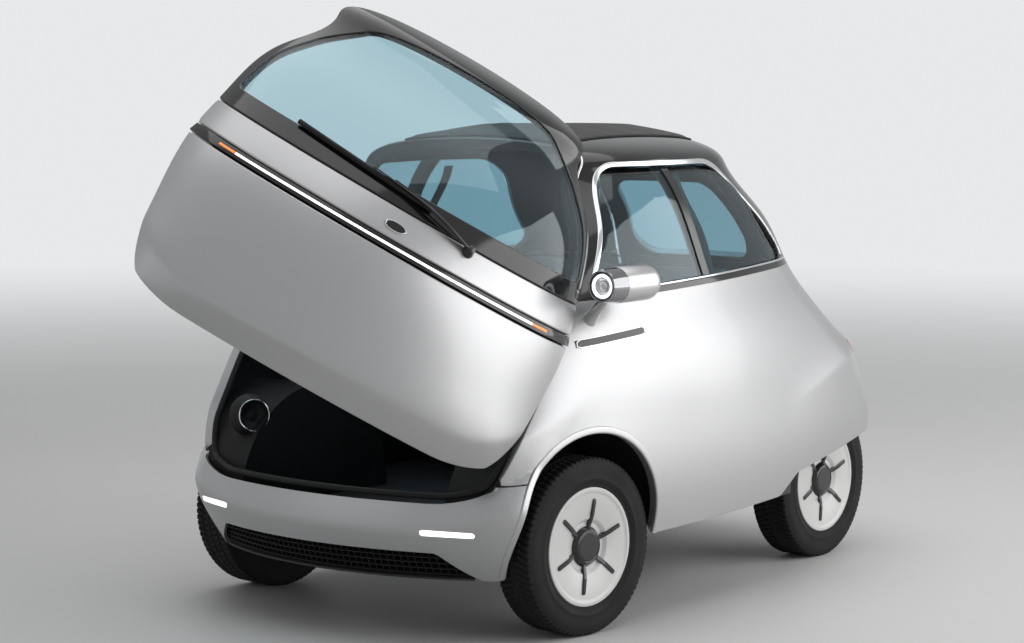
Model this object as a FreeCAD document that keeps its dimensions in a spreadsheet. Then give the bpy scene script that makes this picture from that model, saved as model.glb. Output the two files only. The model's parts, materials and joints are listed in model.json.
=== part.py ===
import FreeCAD, Part
import math
import os
from FreeCAD import Placement, Rotation, Vector

# A two-seat microcar with one front door that carries the windscreen.
# +X is the car's left, -Y is forward and +Z is up.  The origin is on the ground,
# on the centre line, straight under the front axle.  Millimetres throughout.

doc = FreeCAD.newDocument("microcar")
sheet = doc.addObject("Spreadsheet::Sheet", "sizes")

SIZES = (
    # overall body
    ("body_width", 1473), ("front_overhang", 515), ("rear_overhang", 437), ("wheelbase", 1567),
    ("wall", 30), ("door_wall", 42), ("seam_gap", 6), ("rest_gap", 0.3),
    # wheels
    ("front_track", 1226), ("rear_track", 932), ("tyre_diameter", 533), ("tyre_width", 145),
    ("rim_diameter", 330), ("rim_wall", 7), ("cover_diameter", 356), ("cover_offset", 69),
    ("hub_bore", 58), ("hub_cap_diameter", 74), ("disc_radius", 100),
    # front door and its hinge line
    ("hinge_across", 672), ("hinge_along", -179), ("hinge_height", 700),
    ("hinge_lean_back", 34.7), ("hinge_lean_in", 11.3), ("door_open", 52),
    ("door_seam_ahead", 33), ("door_bottom", 420), ("door_corner", 235), ("header_height", 1420),
    ("header_radius", 70), ("hinge_pin", 5), ("hinge_barrel", 9), ("hinge_length", 40),
    ("hinge_low", 1018), ("hinge_high", 1120), ("hinge_room", 5), ("hinge_arm", 8),
    ("bar_height", 880), ("bar_depth", 16), ("frame_width", 50), ("glass_thickness", 6),
    # openings in the body
    ("arch_centre_along", -14), ("arch_centre_up", 326), ("arch_radius", 286),
    ("sill_front", 268), ("sill_rear", 290),
    ("skirt_start", 1030), ("skirt_step", 68), ("skirt_tail_height", 470),
    ("belt_front", 990), ("belt_slope", 0.033), ("bumper_seam", 482), ("bumper_bottom", 186),
    ("window_front", 74), ("window_top", 1374), ("window_rear_radius", 300),
    # floor and running gear
    ("floor_height", 285), ("floor_thickness", 22), ("footwell_half_width", 405),
    ("kingpin_across", 590), ("kingpin_length", 200), ("wheel_room", 6), ("steer_now", 5.8),
    ("seat_front", 640), ("seat_top", 578), ("seat_half_width", 500),
    # jacking pads and the tow eye's socket
    ("jack_front", 480), ("jack_rear", 1050), ("jack_across", 470), ("jack_radius", 35), ("jack_drop", 12),
    ("tow_across", -300), ("tow_height", 440), ("tow_radius", 8), ("tow_depth", 40), ("tow_boss", 18),
    # rear lid
    ("lid_half_width", 430), ("lid_top_half_width", 250), ("lid_top", 1372), ("lid_bottom", 560),
    ("lid_frame", 60), ("lid_corner", 120), ("rear_window_bottom", 1040),
    ("lid_axis_lift", 15), ("lid_hinge_across", 100),
)

# Horizontal sections of the body, from the skirt up to the crown of the roof.
# name, height, inset from the widest half width, station of the widest point,
# set-back of the nose, set-back of the tail, front corner radius, rear corner radius
LEVELS = (
    ("skirt", 180, 36, 420, 60, 109, 400, 400),
    ("fender", 400, 0, 400, 0, 0, 200, 290),
    ("waist", 640, 0, 380, 25, 14, 395, 480),
    ("shoulder", 880, 28, 380, 110, 234, 510, 600),
    ("belt", 1000, 71, 400, 190, 354, 480, 590),
    ("glass", 1200, 144, 450, 395, 504, 405, 500),
    ("brow", 1360, 236, 550, 585, 684, 335, 385),
    ("cant", 1450, 351, 650, 745, 849, 285, 290),
    ("crown", 1487, 536, 750, 995, 1024, 150, 140),
)
COLUMNS = ("height", "inset", "widest", "nose_back", "tail_back", "front_corner", "rear_corner")

cells = list(SIZES)
for level in LEVELS:
    cells += [("%s_%s" % (level[0], column), value) for column, value in zip(COLUMNS, level[1:])]
for row, (alias, value) in enumerate(cells, start=1):
    sheet.set("A%d" % row, alias)
    sheet.set("B%d" % row, str(value))
    sheet.setAlias("B%d" % row, alias)
doc.recompute()


def size(alias):
    return float(sheet.get(alias))


LEFT, RIGHT = 1, -1
X_AXIS, Y_AXIS, Z_AXIS = Vector(1, 0, 0), Vector(0, 1, 0), Vector(0, 0, 1)
FAR = 3000
SIDE_TURN, FRONT_TURN, REAR_TURN = 12, 66, 62  # headings at which the plan arcs meet
half_width = size("body_width") / 2
tail = size("wheelbase") + size("rear_overhang")
nose = -size("front_overhang")
wall = size("wall")
gap = size("seam_gap")
rest = size("rest_gap")
parts = {}


def keep(name, item, placement=None):
    """Registers one finished sub-part under its label."""
    if isinstance(item, Part.Shape):
        shape = item
        item = doc.addObject("Part::Feature", name)
        item.Shape = shape
    item.Label = name
    if placement is not None:
        item.Placement = placement
    parts[name] = item
    return item


def solids_of(shape):
    found = shape.Solids
    return found[0] if len(found) == 1 else Part.makeCompound(found)


# ---------------------------------------------------------------- body surface
def quarter(width, length, corner, turn):
    """Radii of the side arc and the end arc of a quarter outline with a given corner arc."""
    a, b = math.radians(SIDE_TURN), math.radians(turn)
    across = width - corner * (math.cos(a) - math.cos(b))
    along = length - corner * (math.sin(b) - math.sin(a))
    det = (1 - math.cos(a)) * (1 - math.sin(b)) - math.cos(b) * math.sin(a)
    side = (across * (1 - math.sin(b)) - math.cos(b) * along) / det
    end = ((1 - math.cos(a)) * along - math.sin(a) * across) / det
    return side, end


def quarter_point(width, length, corner, turn, heading):
    """Point of the quarter outline where its tangent has turned by a heading in degrees."""
    side, end = quarter(width, length, corner, turn)
    a, b, h = (math.radians(angle) for angle in (SIDE_TURN, turn, heading))
    x, y = width, 0.0
    for radius, start, stop in ((side, 0, a), (corner, a, b), (end, b, math.pi / 2)):
        reach = min(h, stop)
        if reach > start:
            x -= radius * (math.cos(start) - math.cos(reach))
            y += radius * (math.sin(reach) - math.sin(start))
    return x, y


def level_outline(name, inset):
    """Closed outline of ten tangent arcs at one height, moved in by an inset."""
    height, widest = size(name + "_height"), size(name + "_widest")
    rise = max(0.0, (height - size("belt_height")) / (size("crown_height") - size("belt_height")))
    z = height - inset * rise
    width = half_width - size(name + "_inset") - inset
    forward = widest - (nose + size(name + "_nose_back") + inset)
    backward = tail - size(name + "_tail_back") - inset - widest
    ends = []
    for sign, length, corner, turn in (
        (-1, forward, size(name + "_front_corner") - inset, FRONT_TURN),
        (1, backward, size(name + "_rear_corner") - inset, REAR_TURN),
    ):
        headings = (0, SIDE_TURN / 2, SIDE_TURN, (SIDE_TURN + turn) / 2, turn, 90)
        spots = [quarter_point(width, length, corner, turn, h) for h in headings]
        ends.append([(x, widest + sign * y) for x, y in spots])
    front, rear = ends

    def arc(first, middle, last):
        spots = [Vector(side * point[0], point[1], z) for side, point in (first, middle, last)]
        return Part.Arc(*spots).toShape()

    edges = [arc((RIGHT, front[4]), (LEFT, front[5]), (LEFT, front[4]))]
    edges += [arc((LEFT, front[4]), (LEFT, front[3]), (LEFT, front[2]))]
    edges += [arc((LEFT, front[2]), (LEFT, front[1]), (LEFT, front[0]))]
    edges += [arc((LEFT, rear[0]), (LEFT, rear[1]), (LEFT, rear[2]))]
    edges += [arc((LEFT, rear[2]), (LEFT, rear[3]), (LEFT, rear[4]))]
    edges += [arc((LEFT, rear[4]), (LEFT, rear[5]), (RIGHT, rear[4]))]
    edges += [arc((RIGHT, rear[4]), (RIGHT, rear[3]), (RIGHT, rear[2]))]
    edges += [arc((RIGHT, rear[2]), (RIGHT, rear[1]), (RIGHT, rear[0]))]
    edges += [arc((RIGHT, front[0]), (RIGHT, front[1]), (RIGHT, front[2]))]
    edges += [arc((RIGHT, front[2]), (RIGHT, front[3]), (RIGHT, front[4]))]
    return Part.Wire(edges)


LOFTS = {}


def body_loft(inset):
    """The whole car as one closed form, moved in by an inset."""
    if inset not in LOFTS:
        outlines = [level_outline(level[0], inset) for level in LEVELS]
        LOFTS[inset] = Part.makeLoft(outlines, True, False, False)
    return LOFTS[inset]


def skin_across(along, height, inset=0.0):
    """Half width of the form at a station and a height, found on the form itself."""
    line = Part.makeLine(Vector(0, along, height), Vector(FAR, along, height))
    hit = body_loft(inset).common(line)
    return max(vertex.X for vertex in hit.Vertexes)


def nose_along(across, height, inset=0.0):
    """Foremost station of the form at a distance from the centre line and a height."""
    line = Part.makeLine(Vector(across, -FAR, height), Vector(across, FAR, height))
    hit = body_loft(inset).common(line)
    return min(vertex.Y for vertex in hit.Vertexes)


def tail_along(across, height, inset=0.0):
    line = Part.makeLine(Vector(across, -FAR, height), Vector(across, FAR, height))
    hit = body_loft(inset).common(line)
    return max(vertex.Y for vertex in hit.Vertexes)


# ---------------------------------------------------------------- cutters
def side_prism(edges, start=-FAR, stop=FAR):
    """Solid whose outline lies in the Y-Z plane, drawn as edges at x = 0."""
    face = Part.Face(Part.Wire(Part.sortEdges(edges)[0]))
    face.translate(Vector(start, 0, 0))
    return face.extrude(Vector(stop - start, 0, 0))


def side_points(points):
    return [Vector(0, y, z) for y, z in points]


def front_points(points):
    return [Vector(x, 0, z) for x, z in points]


def loop(points):
    """Straight edges through a closed list of points."""
    return [Part.makeLine(a, b) for a, b in zip(points, points[1:] + points[:1])]


def front_prism(edges, start, stop):
    face = Part.Face(Part.Wire(Part.sortEdges(edges)[0]))
    face.translate(Vector(0, start, 0))
    return face.extrude(Vector(0, stop - start, 0))


def rounded(points, radius):
    """Edges of a closed polygon in one plane with every corner rounded."""
    edges = []
    count = len(points)
    radii = radius if isinstance(radius, (list, tuple)) else [radius] * count
    starts, stops = [], []
    for index, corner in enumerate(points):
        before = (points[index - 1] - corner).normalize()
        after = (points[(index + 1) % count] - corner).normalize()
        half = before.getAngle(after) / 2
        run = radii[index] / math.tan(half)
        first, last = corner + before * run, corner + after * run
        inward = (before + after).normalize()
        middle = corner + inward * (radii[index] / math.sin(half) - radii[index])
        starts.append(first)
        stops.append(last)
        if radii[index] > 0:
            edges.append(Part.Arc(first, middle, last).toShape())
    for index in range(count):
        if (starts[(index + 1) % count] - stops[index]).Length > 1e-6:
            edges.append(Part.makeLine(stops[index], starts[(index + 1) % count]))
    return edges


hinge_point = Vector(size("hinge_across"), size("hinge_along"), size("hinge_height"))
lean_back, lean_in = math.radians(size("hinge_lean_back")), math.radians(size("hinge_lean_in"))
hinge_axis = Vector(
    -math.sin(lean_in), math.sin(lean_back) * math.cos(lean_in), math.cos(lean_back) * math.cos(lean_in)
)
OPENED = Placement(Vector(), Rotation(hinge_axis, size("door_open")), hinge_point)


def hinge_at(height):
    return hinge_point + hinge_axis * ((height - hinge_point.z) / hinge_axis.z)


def seam_along(height):
    """Station of the door's rear edge, parallel to the hinge line in side view."""
    foot_station = size("hinge_along") - size("door_seam_ahead")
    return foot_station + (height - size("hinge_height")) * math.tan(lean_back)


def door_region(grow):
    """Everything the door may fill; a negative grow leaves the seam."""
    top = size("header_height")
    corner = Vector(0, seam_along(top) + grow, top + grow * 0.3)
    up = Vector(0, -0.64, 0.77) * 250
    low = 300
    outline = [
        Vector(0, -1500, low), Vector(0, seam_along(low) + grow, low), corner, corner + up,
        Vector(0, -1500, corner.z + up.z),
    ]
    side = side_prism(rounded(outline, [0, 0, size("header_radius"), 0, 0]))
    bottom, reach = size("door_bottom") - grow, half_width + 60
    radius = size("door_corner") + half_width + 60 - 640
    panel = front_points([(-reach, bottom), (reach, bottom), (reach, 1700), (-reach, 1700)])
    front = front_prism(rounded(panel, [radius, radius, 0, 0]), -1500, 600)
    return side.common(front)


def belt_at(along):
    return size("belt_front") + size("belt_slope") * along


def above_belt(lift=0.0):
    outline = [(-1500, belt_at(-1500) + lift), (FAR, belt_at(FAR) + lift), (FAR, 2500), (-1500, 2500)]
    return side_prism(loop(side_points(outline)))


def window_outline(grow):
    """Side window opening in side view: raked front edge, level top, long round rear."""
    low = 24 - grow
    top = size("window_top") + grow
    front_low = seam_along(belt_at(0)) + size("window_front") - grow
    front_top = seam_along(top) + size("window_front") - grow
    rear_low, rear_top = 1272 + grow, 972 + grow
    points = side_points([
        (front_low, belt_at(front_low) + low), (rear_low, belt_at(rear_low) + low),
        (rear_top, top), (front_top, top),
    ])
    radii = [24 + grow, 30 + grow, size("window_rear_radius") + grow, 90 + grow]
    return rounded(points, radii)


def lid_outline(grow, low, high, width_low, width_high, corner):
    points = front_points([
        (-width_low - grow, low - grow), (width_low + grow, low - grow),
        (width_high + grow, high + grow), (-width_high - grow, high + grow),
    ])
    return rounded(points, corner + grow)


def lid_region(grow):
    width = size("lid_half_width")
    top_width = size("lid_top_half_width")
    edges = lid_outline(grow, size("lid_bottom"), size("lid_top"), width, top_width, size("lid_corner"))
    return front_prism(edges, 1000, 2600)


def rear_window_region(grow):
    low, high, frame = size("rear_window_bottom"), size("lid_top") - size("lid_frame"), size("lid_frame")
    top, top_half = size("lid_top"), size("lid_top_half_width")
    taper = (size("lid_half_width") - top_half) / (top - size("lid_bottom"))
    widths = [top_half + taper * (top - height) - frame for height in (low, high)]
    return front_prism(lid_outline(grow, low, high, widths[0], widths[1], 70), 1000, 2600)


def arch_region(radius, start, stop):
    centre = Vector(start, size("arch_centre_along"), size("arch_centre_up"))
    return Part.makeCylinder(radius, stop - start, centre, X_AXIS)


def below_sill():
    """Everything under the lower edge of the body sides, which steps up over the rear wheel."""
    start, step = size("skirt_start"), size("skirt_start") + 110
    points = side_points([
        (size("arch_centre_along"), 0), (tail + 60, 0), (tail + 60, size("skirt_tail_height")),
        (step, size("sill_rear") + size("skirt_step")), (start, size("sill_rear")),
        (size("arch_centre_along"), size("sill_front")),
    ])
    return side_prism(rounded(points, [0, 0, 0, 70, 70, 0]))


def block(x, y, z, dx, dy, dz):
    return Part.makeBox(dx, dy, dz, Vector(x, y, z))


# ---------------------------------------------------------------- hinges let into the skin
def hinge_set(middle, axis, lid_point, seam_run):
    """Pocket in the fixed panel, its pin, and the knuckle with the arm that the lid carries.

    The arm runs from the pin to a point inside the lid's wall, and the pocket is open outwards
    along it, so that the arm can swing out.
    """
    length, pin, barrel = size("hinge_length"), size("hinge_pin"), size("hinge_barrel")
    room, half_arm = size("hinge_room"), size("hinge_arm") / 2
    start = middle - axis * (length / 2)
    run = lid_point - middle
    run = run - axis * run.dot(axis)
    along = run * (1 / run.Length)
    face = axis.cross(along)
    if face.dot(middle - Vector(0, size("seat_front"), middle.z - 200)) < 0:
        face = face * -1

    def plate(grow, last, low, high):
        corner = start - axis * grow + face * low
        corners = [corner, corner + axis * (length + 2 * grow)]
        corners += [corners[1] + along * last, corner + along * last, corner]
        return Part.Face(Part.makePolygon(corners)).extrude(face * (high - low))

    pocket = Part.makeCylinder(barrel + room, length + 2 * room, start - axis * room, axis)
    pocket = pocket.fuse(plate(room, seam_run, -half_arm - room, 60))
    fixed_pin = Part.makeCylinder(pin, length + 2 * room + 4, start - axis * (room + 2), axis)
    knuckle = Part.makeCylinder(barrel, length, start, axis).fuse(plate(0, run.Length, -half_arm, half_arm))
    knuckle = knuckle.cut(Part.makeCylinder(pin + rest, length, start, axis))
    return pocket, fixed_pin, knuckle


def side_plate(across, thickness, points):
    """Plate with an outline in the side view, centred on a station across the car."""
    corners = [Vector(across - thickness / 2, y, z) for y, z in points]
    return Part.Face(Part.makePolygon(corners + corners[:1])).extrude(X_AXIS * thickness)


def skin_point(along, height, inset):
    return Vector(skin_across(along, height, inset), along, height)


# ---------------------------------------------------------------- outer panels
shell = body_loft(0).cut(body_loft(wall))
opening = door_region(gap / 2)
fixed = shell.cut(opening).cut(lid_region(gap / 2)).cut(below_sill())
hub_z = size("tyre_diameter") / 2
tread_reach = size("front_track") / 2 - size("kingpin_across") + size("tyre_width") / 2 - 16
wheel_room = math.hypot(tread_reach, hub_z) + size("wheel_room")
for side in (LEFT, RIGHT):
    start, stop = (300, FAR) if side == LEFT else (-FAR, -300)
    fixed = fixed.cut(arch_region(size("arch_radius"), start, stop))
    fixed = fixed.cut(Part.makeSphere(wheel_room, Vector(side * size("kingpin_across"), 0, hub_z)))

bumper_zone = block(-FAR, -FAR, size("bumper_bottom"), 2 * FAR, FAR + size("arch_centre_along") - 60,
                    size("bumper_seam") - gap / 2 - size("bumper_bottom"))
grille_hole = front_prism(
    rounded(front_points([(-470, 120), (470, 120), (400, 272), (-400, 272)]), [0, 0, 30, 30]), -900, -300)
lamp_inner, lamp_long, lamp_low, lamp_deep = 385, 160, 327, 16
lamp_slots = []
for side in (LEFT, RIGHT):
    corner_x = lamp_inner if side == LEFT else -lamp_inner - lamp_long
    lamp_slots.append(block(corner_x, -900, lamp_low, lamp_long, 600, lamp_deep))
bumper = fixed.common(bumper_zone).cut(grille_hole)
bumper_skin = body_loft(10)
for slot in lamp_slots:
    bumper = bumper.cut(slot.cut(bumper_skin))
keep("front_bumper", solids_of(bumper))

lamps = []
for slot in lamp_slots:
    lens = slot.common(body_loft(1)).cut(body_loft(10 - rest))
    box = lens.BoundBox
    inset = block(
        box.XMin + rest, -900, lamp_low + rest, box.XLength - 2 * rest, 700, lamp_deep - 2 * rest)
    lamps.append(lens.common(inset))
keep("front_lamps", Part.makeCompound([solids_of(lamp) for lamp in lamps]))

lower_sides = fixed.cut(above_belt()).cut(
    block(-FAR, -FAR, 0, 2 * FAR, FAR + size("arch_centre_along") - 50, size("bumper_seam") + gap / 2))
for name, start in (("side_panel_left", 0), ("side_panel_right", -FAR)):
    keep(name, solids_of(lower_sides.common(block(start, -FAR, 0, FAR, 2 * FAR, FAR))))

greenhouse = fixed.common(above_belt(0.0))
windows = side_prism(window_outline(0))
roof = greenhouse.cut(windows)
door_arms, lid_arms = [], []
mid_wall = wall / 2
for height in (size("hinge_low"), size("hinge_high")):
    middle = hinge_at(height)
    lid_point = skin_point(seam_along(height) - gap / 2 - 10, height, mid_wall)
    fixed_point = skin_point(seam_along(height) + gap / 2, height, 0)
    pocket, pin, knuckle = hinge_set(middle, hinge_axis, lid_point, (fixed_point - middle).Length + 12)
    roof = roof.cut(pocket).fuse(pin)
    door_arms.append(knuckle)
axis_y = tail_along(0, size("lid_top")) + 2
axis_z = size("lid_top") + size("lid_axis_lift")
knuckle_half, lug_room, lug_wide = 12, 6, 8
brackets = []
for side in (LEFT, RIGHT):
    across = side * size("lid_hinge_across")
    strap = side_plate(across, 2 * knuckle_half, [
        (axis_y - 6, axis_z), (axis_y + 6, axis_z),
        (tail_along(across, 1352) + 5, 1352), (tail_along(across, 1330) + 5, 1330),
        (tail_along(across, 1330) - 14, 1330), (tail_along(across, 1360) - 10, 1360),
    ])
    first = Vector(across - knuckle_half, axis_y, axis_z)
    strap = strap.fuse(Part.makeCylinder(8, 2 * knuckle_half, first, X_AXIS))
    lid_arms.append(strap.cut(Part.makeCylinder(4 + rest, 2 * knuckle_half, first, X_AXIS)))
    reach = knuckle_half + lug_room + lug_wide
    pin = Part.makeCylinder(4, 2 * reach, Vector(across - reach, axis_y, axis_z), X_AXIS)
    for end in (-1, 1):
        middle = across + end * (reach - lug_wide / 2)
        lug = side_plate(middle, lug_wide, [
            (axis_y - 1, axis_z + 7), (tail_along(middle, 1402) - 10, 1402),
            (tail_along(middle, 1380) - 10, 1380), (tail_along(middle, 1380) + 1, 1380),
            (axis_y + 3, axis_z - 7),
        ])
        eye = Part.makeCylinder(8, lug_wide, Vector(middle - lug_wide / 2, axis_y, axis_z), X_AXIS)
        pin = pin.fuse(lug.fuse(eye))
    brackets.append(pin)
roof = roof.fuse(brackets)
keep("roof_frame", solids_of(roof))

panes = body_loft(6).cut(body_loft(6 + size("glass_thickness"))).common(side_prism(window_outline(-rest)))
divider = side_prism(rounded(side_points([
    (640, 900), (680, 900), (640, 1500), (600, 1500)]), 0))
keep("side_windows", Part.makeCompound(panes.cut(divider).Solids))
divider_posts = body_loft(2).cut(body_loft(wall)).common(side_prism(window_outline(-rest))).common(
    side_prism(rounded(side_points([(640.5, 900), (679.5, 900), (639.5, 1500), (600.5, 1500)]), 0)))
keep("window_posts", Part.makeCompound(divider_posts.Solids))

fabric_half, fabric_front, fabric_rear, fabric_low = 330, 300, 1060, 1300
fabric_edges = rounded([
    Vector(-fabric_half, fabric_front, fabric_low), Vector(fabric_half, fabric_front, fabric_low),
    Vector(fabric_half, fabric_rear, fabric_low), Vector(-fabric_half, fabric_rear, fabric_low),
], 60)
fabric_face = Part.Face(Part.Wire(Part.sortEdges(fabric_edges)[0]))
fabric = body_loft(-14).cut(body_loft(-rest)).common(fabric_face.extrude(Vector(0, 0, 400)))
keep("sunroof_fabric", solids_of(fabric))

# ---------------------------------------------------------------- front door
door_form = body_loft(0).cut(body_loft(size("door_wall"))).common(door_region(-gap / 2))
frame_low = size("belt_front") - 8
screen_low, screen_high = frame_low + 30, 1410


def screen_region(grow):
    back = grow - size("frame_width")
    outline = [
        Vector(0, -1500, screen_low - grow),
        Vector(0, seam_along(screen_low) + back, screen_low - grow),
        Vector(0, seam_along(screen_high) + back, screen_high + grow),
        Vector(0, -1500, screen_high + grow),
    ]
    return side_prism(rounded(outline, [0, 30, 60, 0]))


bar_low = size("bar_height") - size("bar_depth") / 2
bar_band = block(-FAR, -FAR, bar_low, 2 * FAR, 2 * FAR, size("bar_depth"))
bar_groove = bar_band.cut(body_loft(12))
lower_door = door_form.common(block(-FAR, -FAR, 0, 2 * FAR, 2 * FAR, frame_low))
keep("door_panel", solids_of(lower_door.cut(bar_groove)), OPENED)
frame = door_form.common(block(-FAR, -FAR, frame_low, 2 * FAR, 2 * FAR, 1000)).cut(screen_region(0))
frame = frame.fuse(door_arms)
keep("windscreen_frame", solids_of(frame), OPENED)
screen = body_loft(5).cut(body_loft(5 + size("glass_thickness"))).common(screen_region(-rest))
keep("windscreen", solids_of(screen), OPENED)
bar = body_loft(1).cut(body_loft(12 - rest)).common(door_region(-gap / 2))
bar = bar.common(block(-FAR, -FAR, bar_low + rest, 2 * FAR, 2 * FAR, size("bar_depth") - 2 * rest))
keep("light_bar", solids_of(bar), OPENED)

# ---------------------------------------------------------------- rear lid
lid = shell.common(lid_region(-gap / 2)).cut(rear_window_region(0)).fuse(lid_arms)
keep("rear_lid", solids_of(lid))
rear_glass = body_loft(5).cut(body_loft(5 + size("glass_thickness"))).common(rear_window_region(-rest))
keep("rear_window", solids_of(rear_glass))


# ---------------------------------------------------------------- trim on the body
trim_ring = side_prism(window_outline(12)).cut(side_prism(window_outline(2)))
trim = body_loft(-3).cut(body_loft(-rest)).common(trim_ring)
keep("window_trims", Part.makeCompound(trim.Solids))

strip_edges = rounded(side_points([(-52, 858), (232, 884), (236, 905), (-44, 880)]), 4)
strip = body_loft(-3).cut(body_loft(-rest)).common(side_prism(strip_edges))
keep("shoulder_strips", Part.makeCompound(strip.Solids))

seal_ring = door_region(24).cut(door_region(gap / 2))
seal = body_loft(wall + rest).cut(body_loft(wall + 14)).common(seal_ring)
keep("door_seal", solids_of(seal.common(block(-FAR, -FAR, 430, 2 * FAR, 2 * FAR, FAR))))

slot_half, slot_low, slot_high = 560, 690, 742
slot_outline = front_points([
    (-slot_half, slot_low), (slot_half, slot_low), (slot_half, slot_high), (-slot_half, slot_high)])
rear_slot = front_prism(rounded(slot_outline, 12), 1500, 2400)
lamp_zone = rear_slot.cut(lid_region(gap))
rear_lamps = body_loft(-2).cut(body_loft(-rest)).common(lamp_zone)
keep("rear_lamps", Part.makeCompound(rear_lamps.Solids))

valance_zone = block(-420, 1500, 335, 840, 700, 175)
valance = body_loft(wall + rest).cut(body_loft(wall + 22)).common(valance_zone)
tow_x, tow_z = size("tow_across"), size("tow_height")
tow_y = tail_along(tow_x, tow_z, wall + rest) - 2
tow_depth = size("tow_depth")
socket = Part.makeCylinder(size("tow_boss"), tow_depth + 8, Vector(tow_x, tow_y, tow_z), Y_AXIS * -1)
tow_start = Vector(tow_x, tow_y - tow_depth, tow_z)
valance = valance.fuse(socket).cut(
    Part.makeCylinder(size("tow_radius"), tow_depth + 40, tow_start, Y_AXIS))
keep("rear_valance", solids_of(valance.removeSplitter()))

grille_zone = front_prism(
    rounded(front_points([(-462, 196), (462, 196), (404, 282), (-404, 282)]), 20), -900, -200)
grille = body_loft(wall + rest).cut(body_loft(wall + 12)).common(grille_zone)
keep("lower_grille", solids_of(grille))

# ---------------------------------------------------------------- door fittings
lining_low, lining_high = size("door_bottom") + 30, frame_low - 30
lining_zone = block(-FAR, -FAR, lining_low, 2 * FAR, 2 * FAR, lining_high - lining_low)
lining = body_loft(size("door_wall") + rest).cut(body_loft(size("door_wall") + 10))
lining = lining.common(door_region(-45)).common(lining_zone)
keep("door_lining", solids_of(lining), OPENED)

badge = Part.makeCylinder(13, 400, Vector(0, nose_along(0, 930) - 200, 930), Y_AXIS)
oval = badge.copy()
matrix = FreeCAD.Matrix()
matrix.A11 = 2.6
oval = oval.transformGeometry(matrix)
emblem = body_loft(-3).cut(body_loft(-rest)).common(oval).common(block(-100, -900, 800, 200, 600, 300))
keep("door_emblem", solids_of(emblem), OPENED)


def rod_path(points, radius):
    """Round bar along straight runs, with a ball at each inner corner."""
    shapes = []
    for first, last in zip(points, points[1:]):
        run = last - first
        shapes.append(Part.makeCylinder(radius, run.Length, first, run))
    for corner in points[1:-1]:
        shapes.append(Part.makeSphere(radius, corner))
    result = shapes[0]
    for shape in shapes[1:]:
        result = result.fuse(shape)
    return result.removeSplitter()


def on_nose(across, height, proud):
    """Point standing proud of the front of the form."""
    return Vector(across, nose_along(across, height) - proud, height)


pivot = on_nose(250, 968, 6)
elbow = on_nose(60, 1010, 16)
tip_low, tip_high = on_nose(120, 1012, 13), on_nose(-330, 1040, 13)
wiper = rod_path([pivot, elbow, on_nose(-100, 1030, 20)], 5)
wiper = wiper.fuse(rod_path([tip_low, on_nose(-100, 1030, 13), tip_high], 5))
spindle_start = Vector(pivot.x, pivot.y - 4, pivot.z - 2)
wiper = wiper.fuse(Part.makeCylinder(12, 26, spindle_start, Vector(0, 0.94, -0.34)))
keep("wiper", solids_of(wiper.cut(body_loft(-rest))), OPENED)

# ---------------------------------------------------------------- lamp pods
pod_x, pod_y, pod_z, pod_r, pod_nose = 752, -62, 1046, 54, 46
pod_length = 262


def pod(side):
    """Bullet housing: a flared nose ring, a straight middle and a domed tail, on a short stalk."""
    centre = Vector(side * pod_x, pod_y, pod_z)
    spots = [(0, 0), (pod_nose, 0), (pod_nose + 2, 10), (pod_r, 70), (pod_r, pod_length - pod_r)]
    dome_middle = (pod_r * math.sqrt(0.5), pod_length - pod_r + pod_r * math.sqrt(0.5))
    points = [centre + Vector(radius, along, 0) for radius, along in spots + [dome_middle, (0, pod_length)]]
    edges = [Part.makeLine(a, b) for a, b in zip(points[:4], points[1:5])]
    edges.append(Part.Arc(points[4], points[5], points[6]).toShape())
    edges.append(Part.makeLine(points[6], points[0]))
    body = Part.Face(Part.Wire(edges)).revolve(centre, Y_AXIS, 360)
    foot_y, foot_z = pod_y + 92, 940
    foot_point = Vector(side * (skin_across(foot_y, foot_z) - 14), foot_y, foot_z)
    head_point = Vector(side * (pod_x - 18), pod_y + 62, pod_z - 30)
    run = head_point - foot_point
    stalk = Part.makeCone(22, 14, run.Length, foot_point, run)
    stalk = stalk.cut(body_loft(-rest))
    pocket = Part.makeCylinder(pod_nose - 8, 16, centre - Y_AXIS, Y_AXIS)
    lens = Part.makeCylinder(pod_nose - 8 - rest, 14, centre + Y_AXIS * 0.5, Y_AXIS)
    return solids_of(body.cut(pocket).fuse(solids_of(stalk)).removeSplitter()), lens


housing, lens = pod(LEFT)
keep("lamp_pods", Part.makeCompound([housing, housing.mirror(Vector(), X_AXIS)]))
keep("lamp_lenses", Part.makeCompound([lens, lens.mirror(Vector(), X_AXIS)]))

# ---------------------------------------------------------------- floor and cabin
inside = body_loft(wall + rest)
floor_low, floor_top = size("floor_height"), size("floor_height") + size("floor_thickness")
arch_y, arch_z = size("arch_centre_along"), size("arch_centre_up")
foot = size("footwell_half_width")
drum_radius = size("arch_radius") + 58


def drum(side, radius, across):
    start = across if side == LEFT else -FAR
    cylinder = arch_region(radius, start, FAR if side == LEFT else -across)
    legs = block(start, arch_y - radius, 150, FAR - across, 2 * radius, arch_z - 150)
    return cylinder.fuse(legs).removeSplitter()


slab = inside.common(block(-FAR, -FAR, floor_low, 2 * FAR, FAR + 1120, size("floor_thickness")))
for side in (LEFT, RIGHT):
    slab = slab.cut(drum(side, drum_radius + rest, foot - rest))
for side in (LEFT, RIGHT):
    for along in (size("jack_front"), size("jack_rear")):
        pad = Vector(side * size("jack_across"), along, floor_low - size("jack_drop"))
        slab = slab.fuse(Part.makeCylinder(size("jack_radius"), size("jack_drop") + 4, pad))
keep("floor_pan", solids_of(slab.removeSplitter()))

boot = inside.common(block(-FAR, 1120, 560, 2 * FAR, FAR, 20))
riser = inside.common(block(-FAR, 1120.3, floor_low, 2 * FAR, 20, 275.5))
keep("boot_floor", solids_of(boot.fuse(riser).removeSplitter()))

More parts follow.
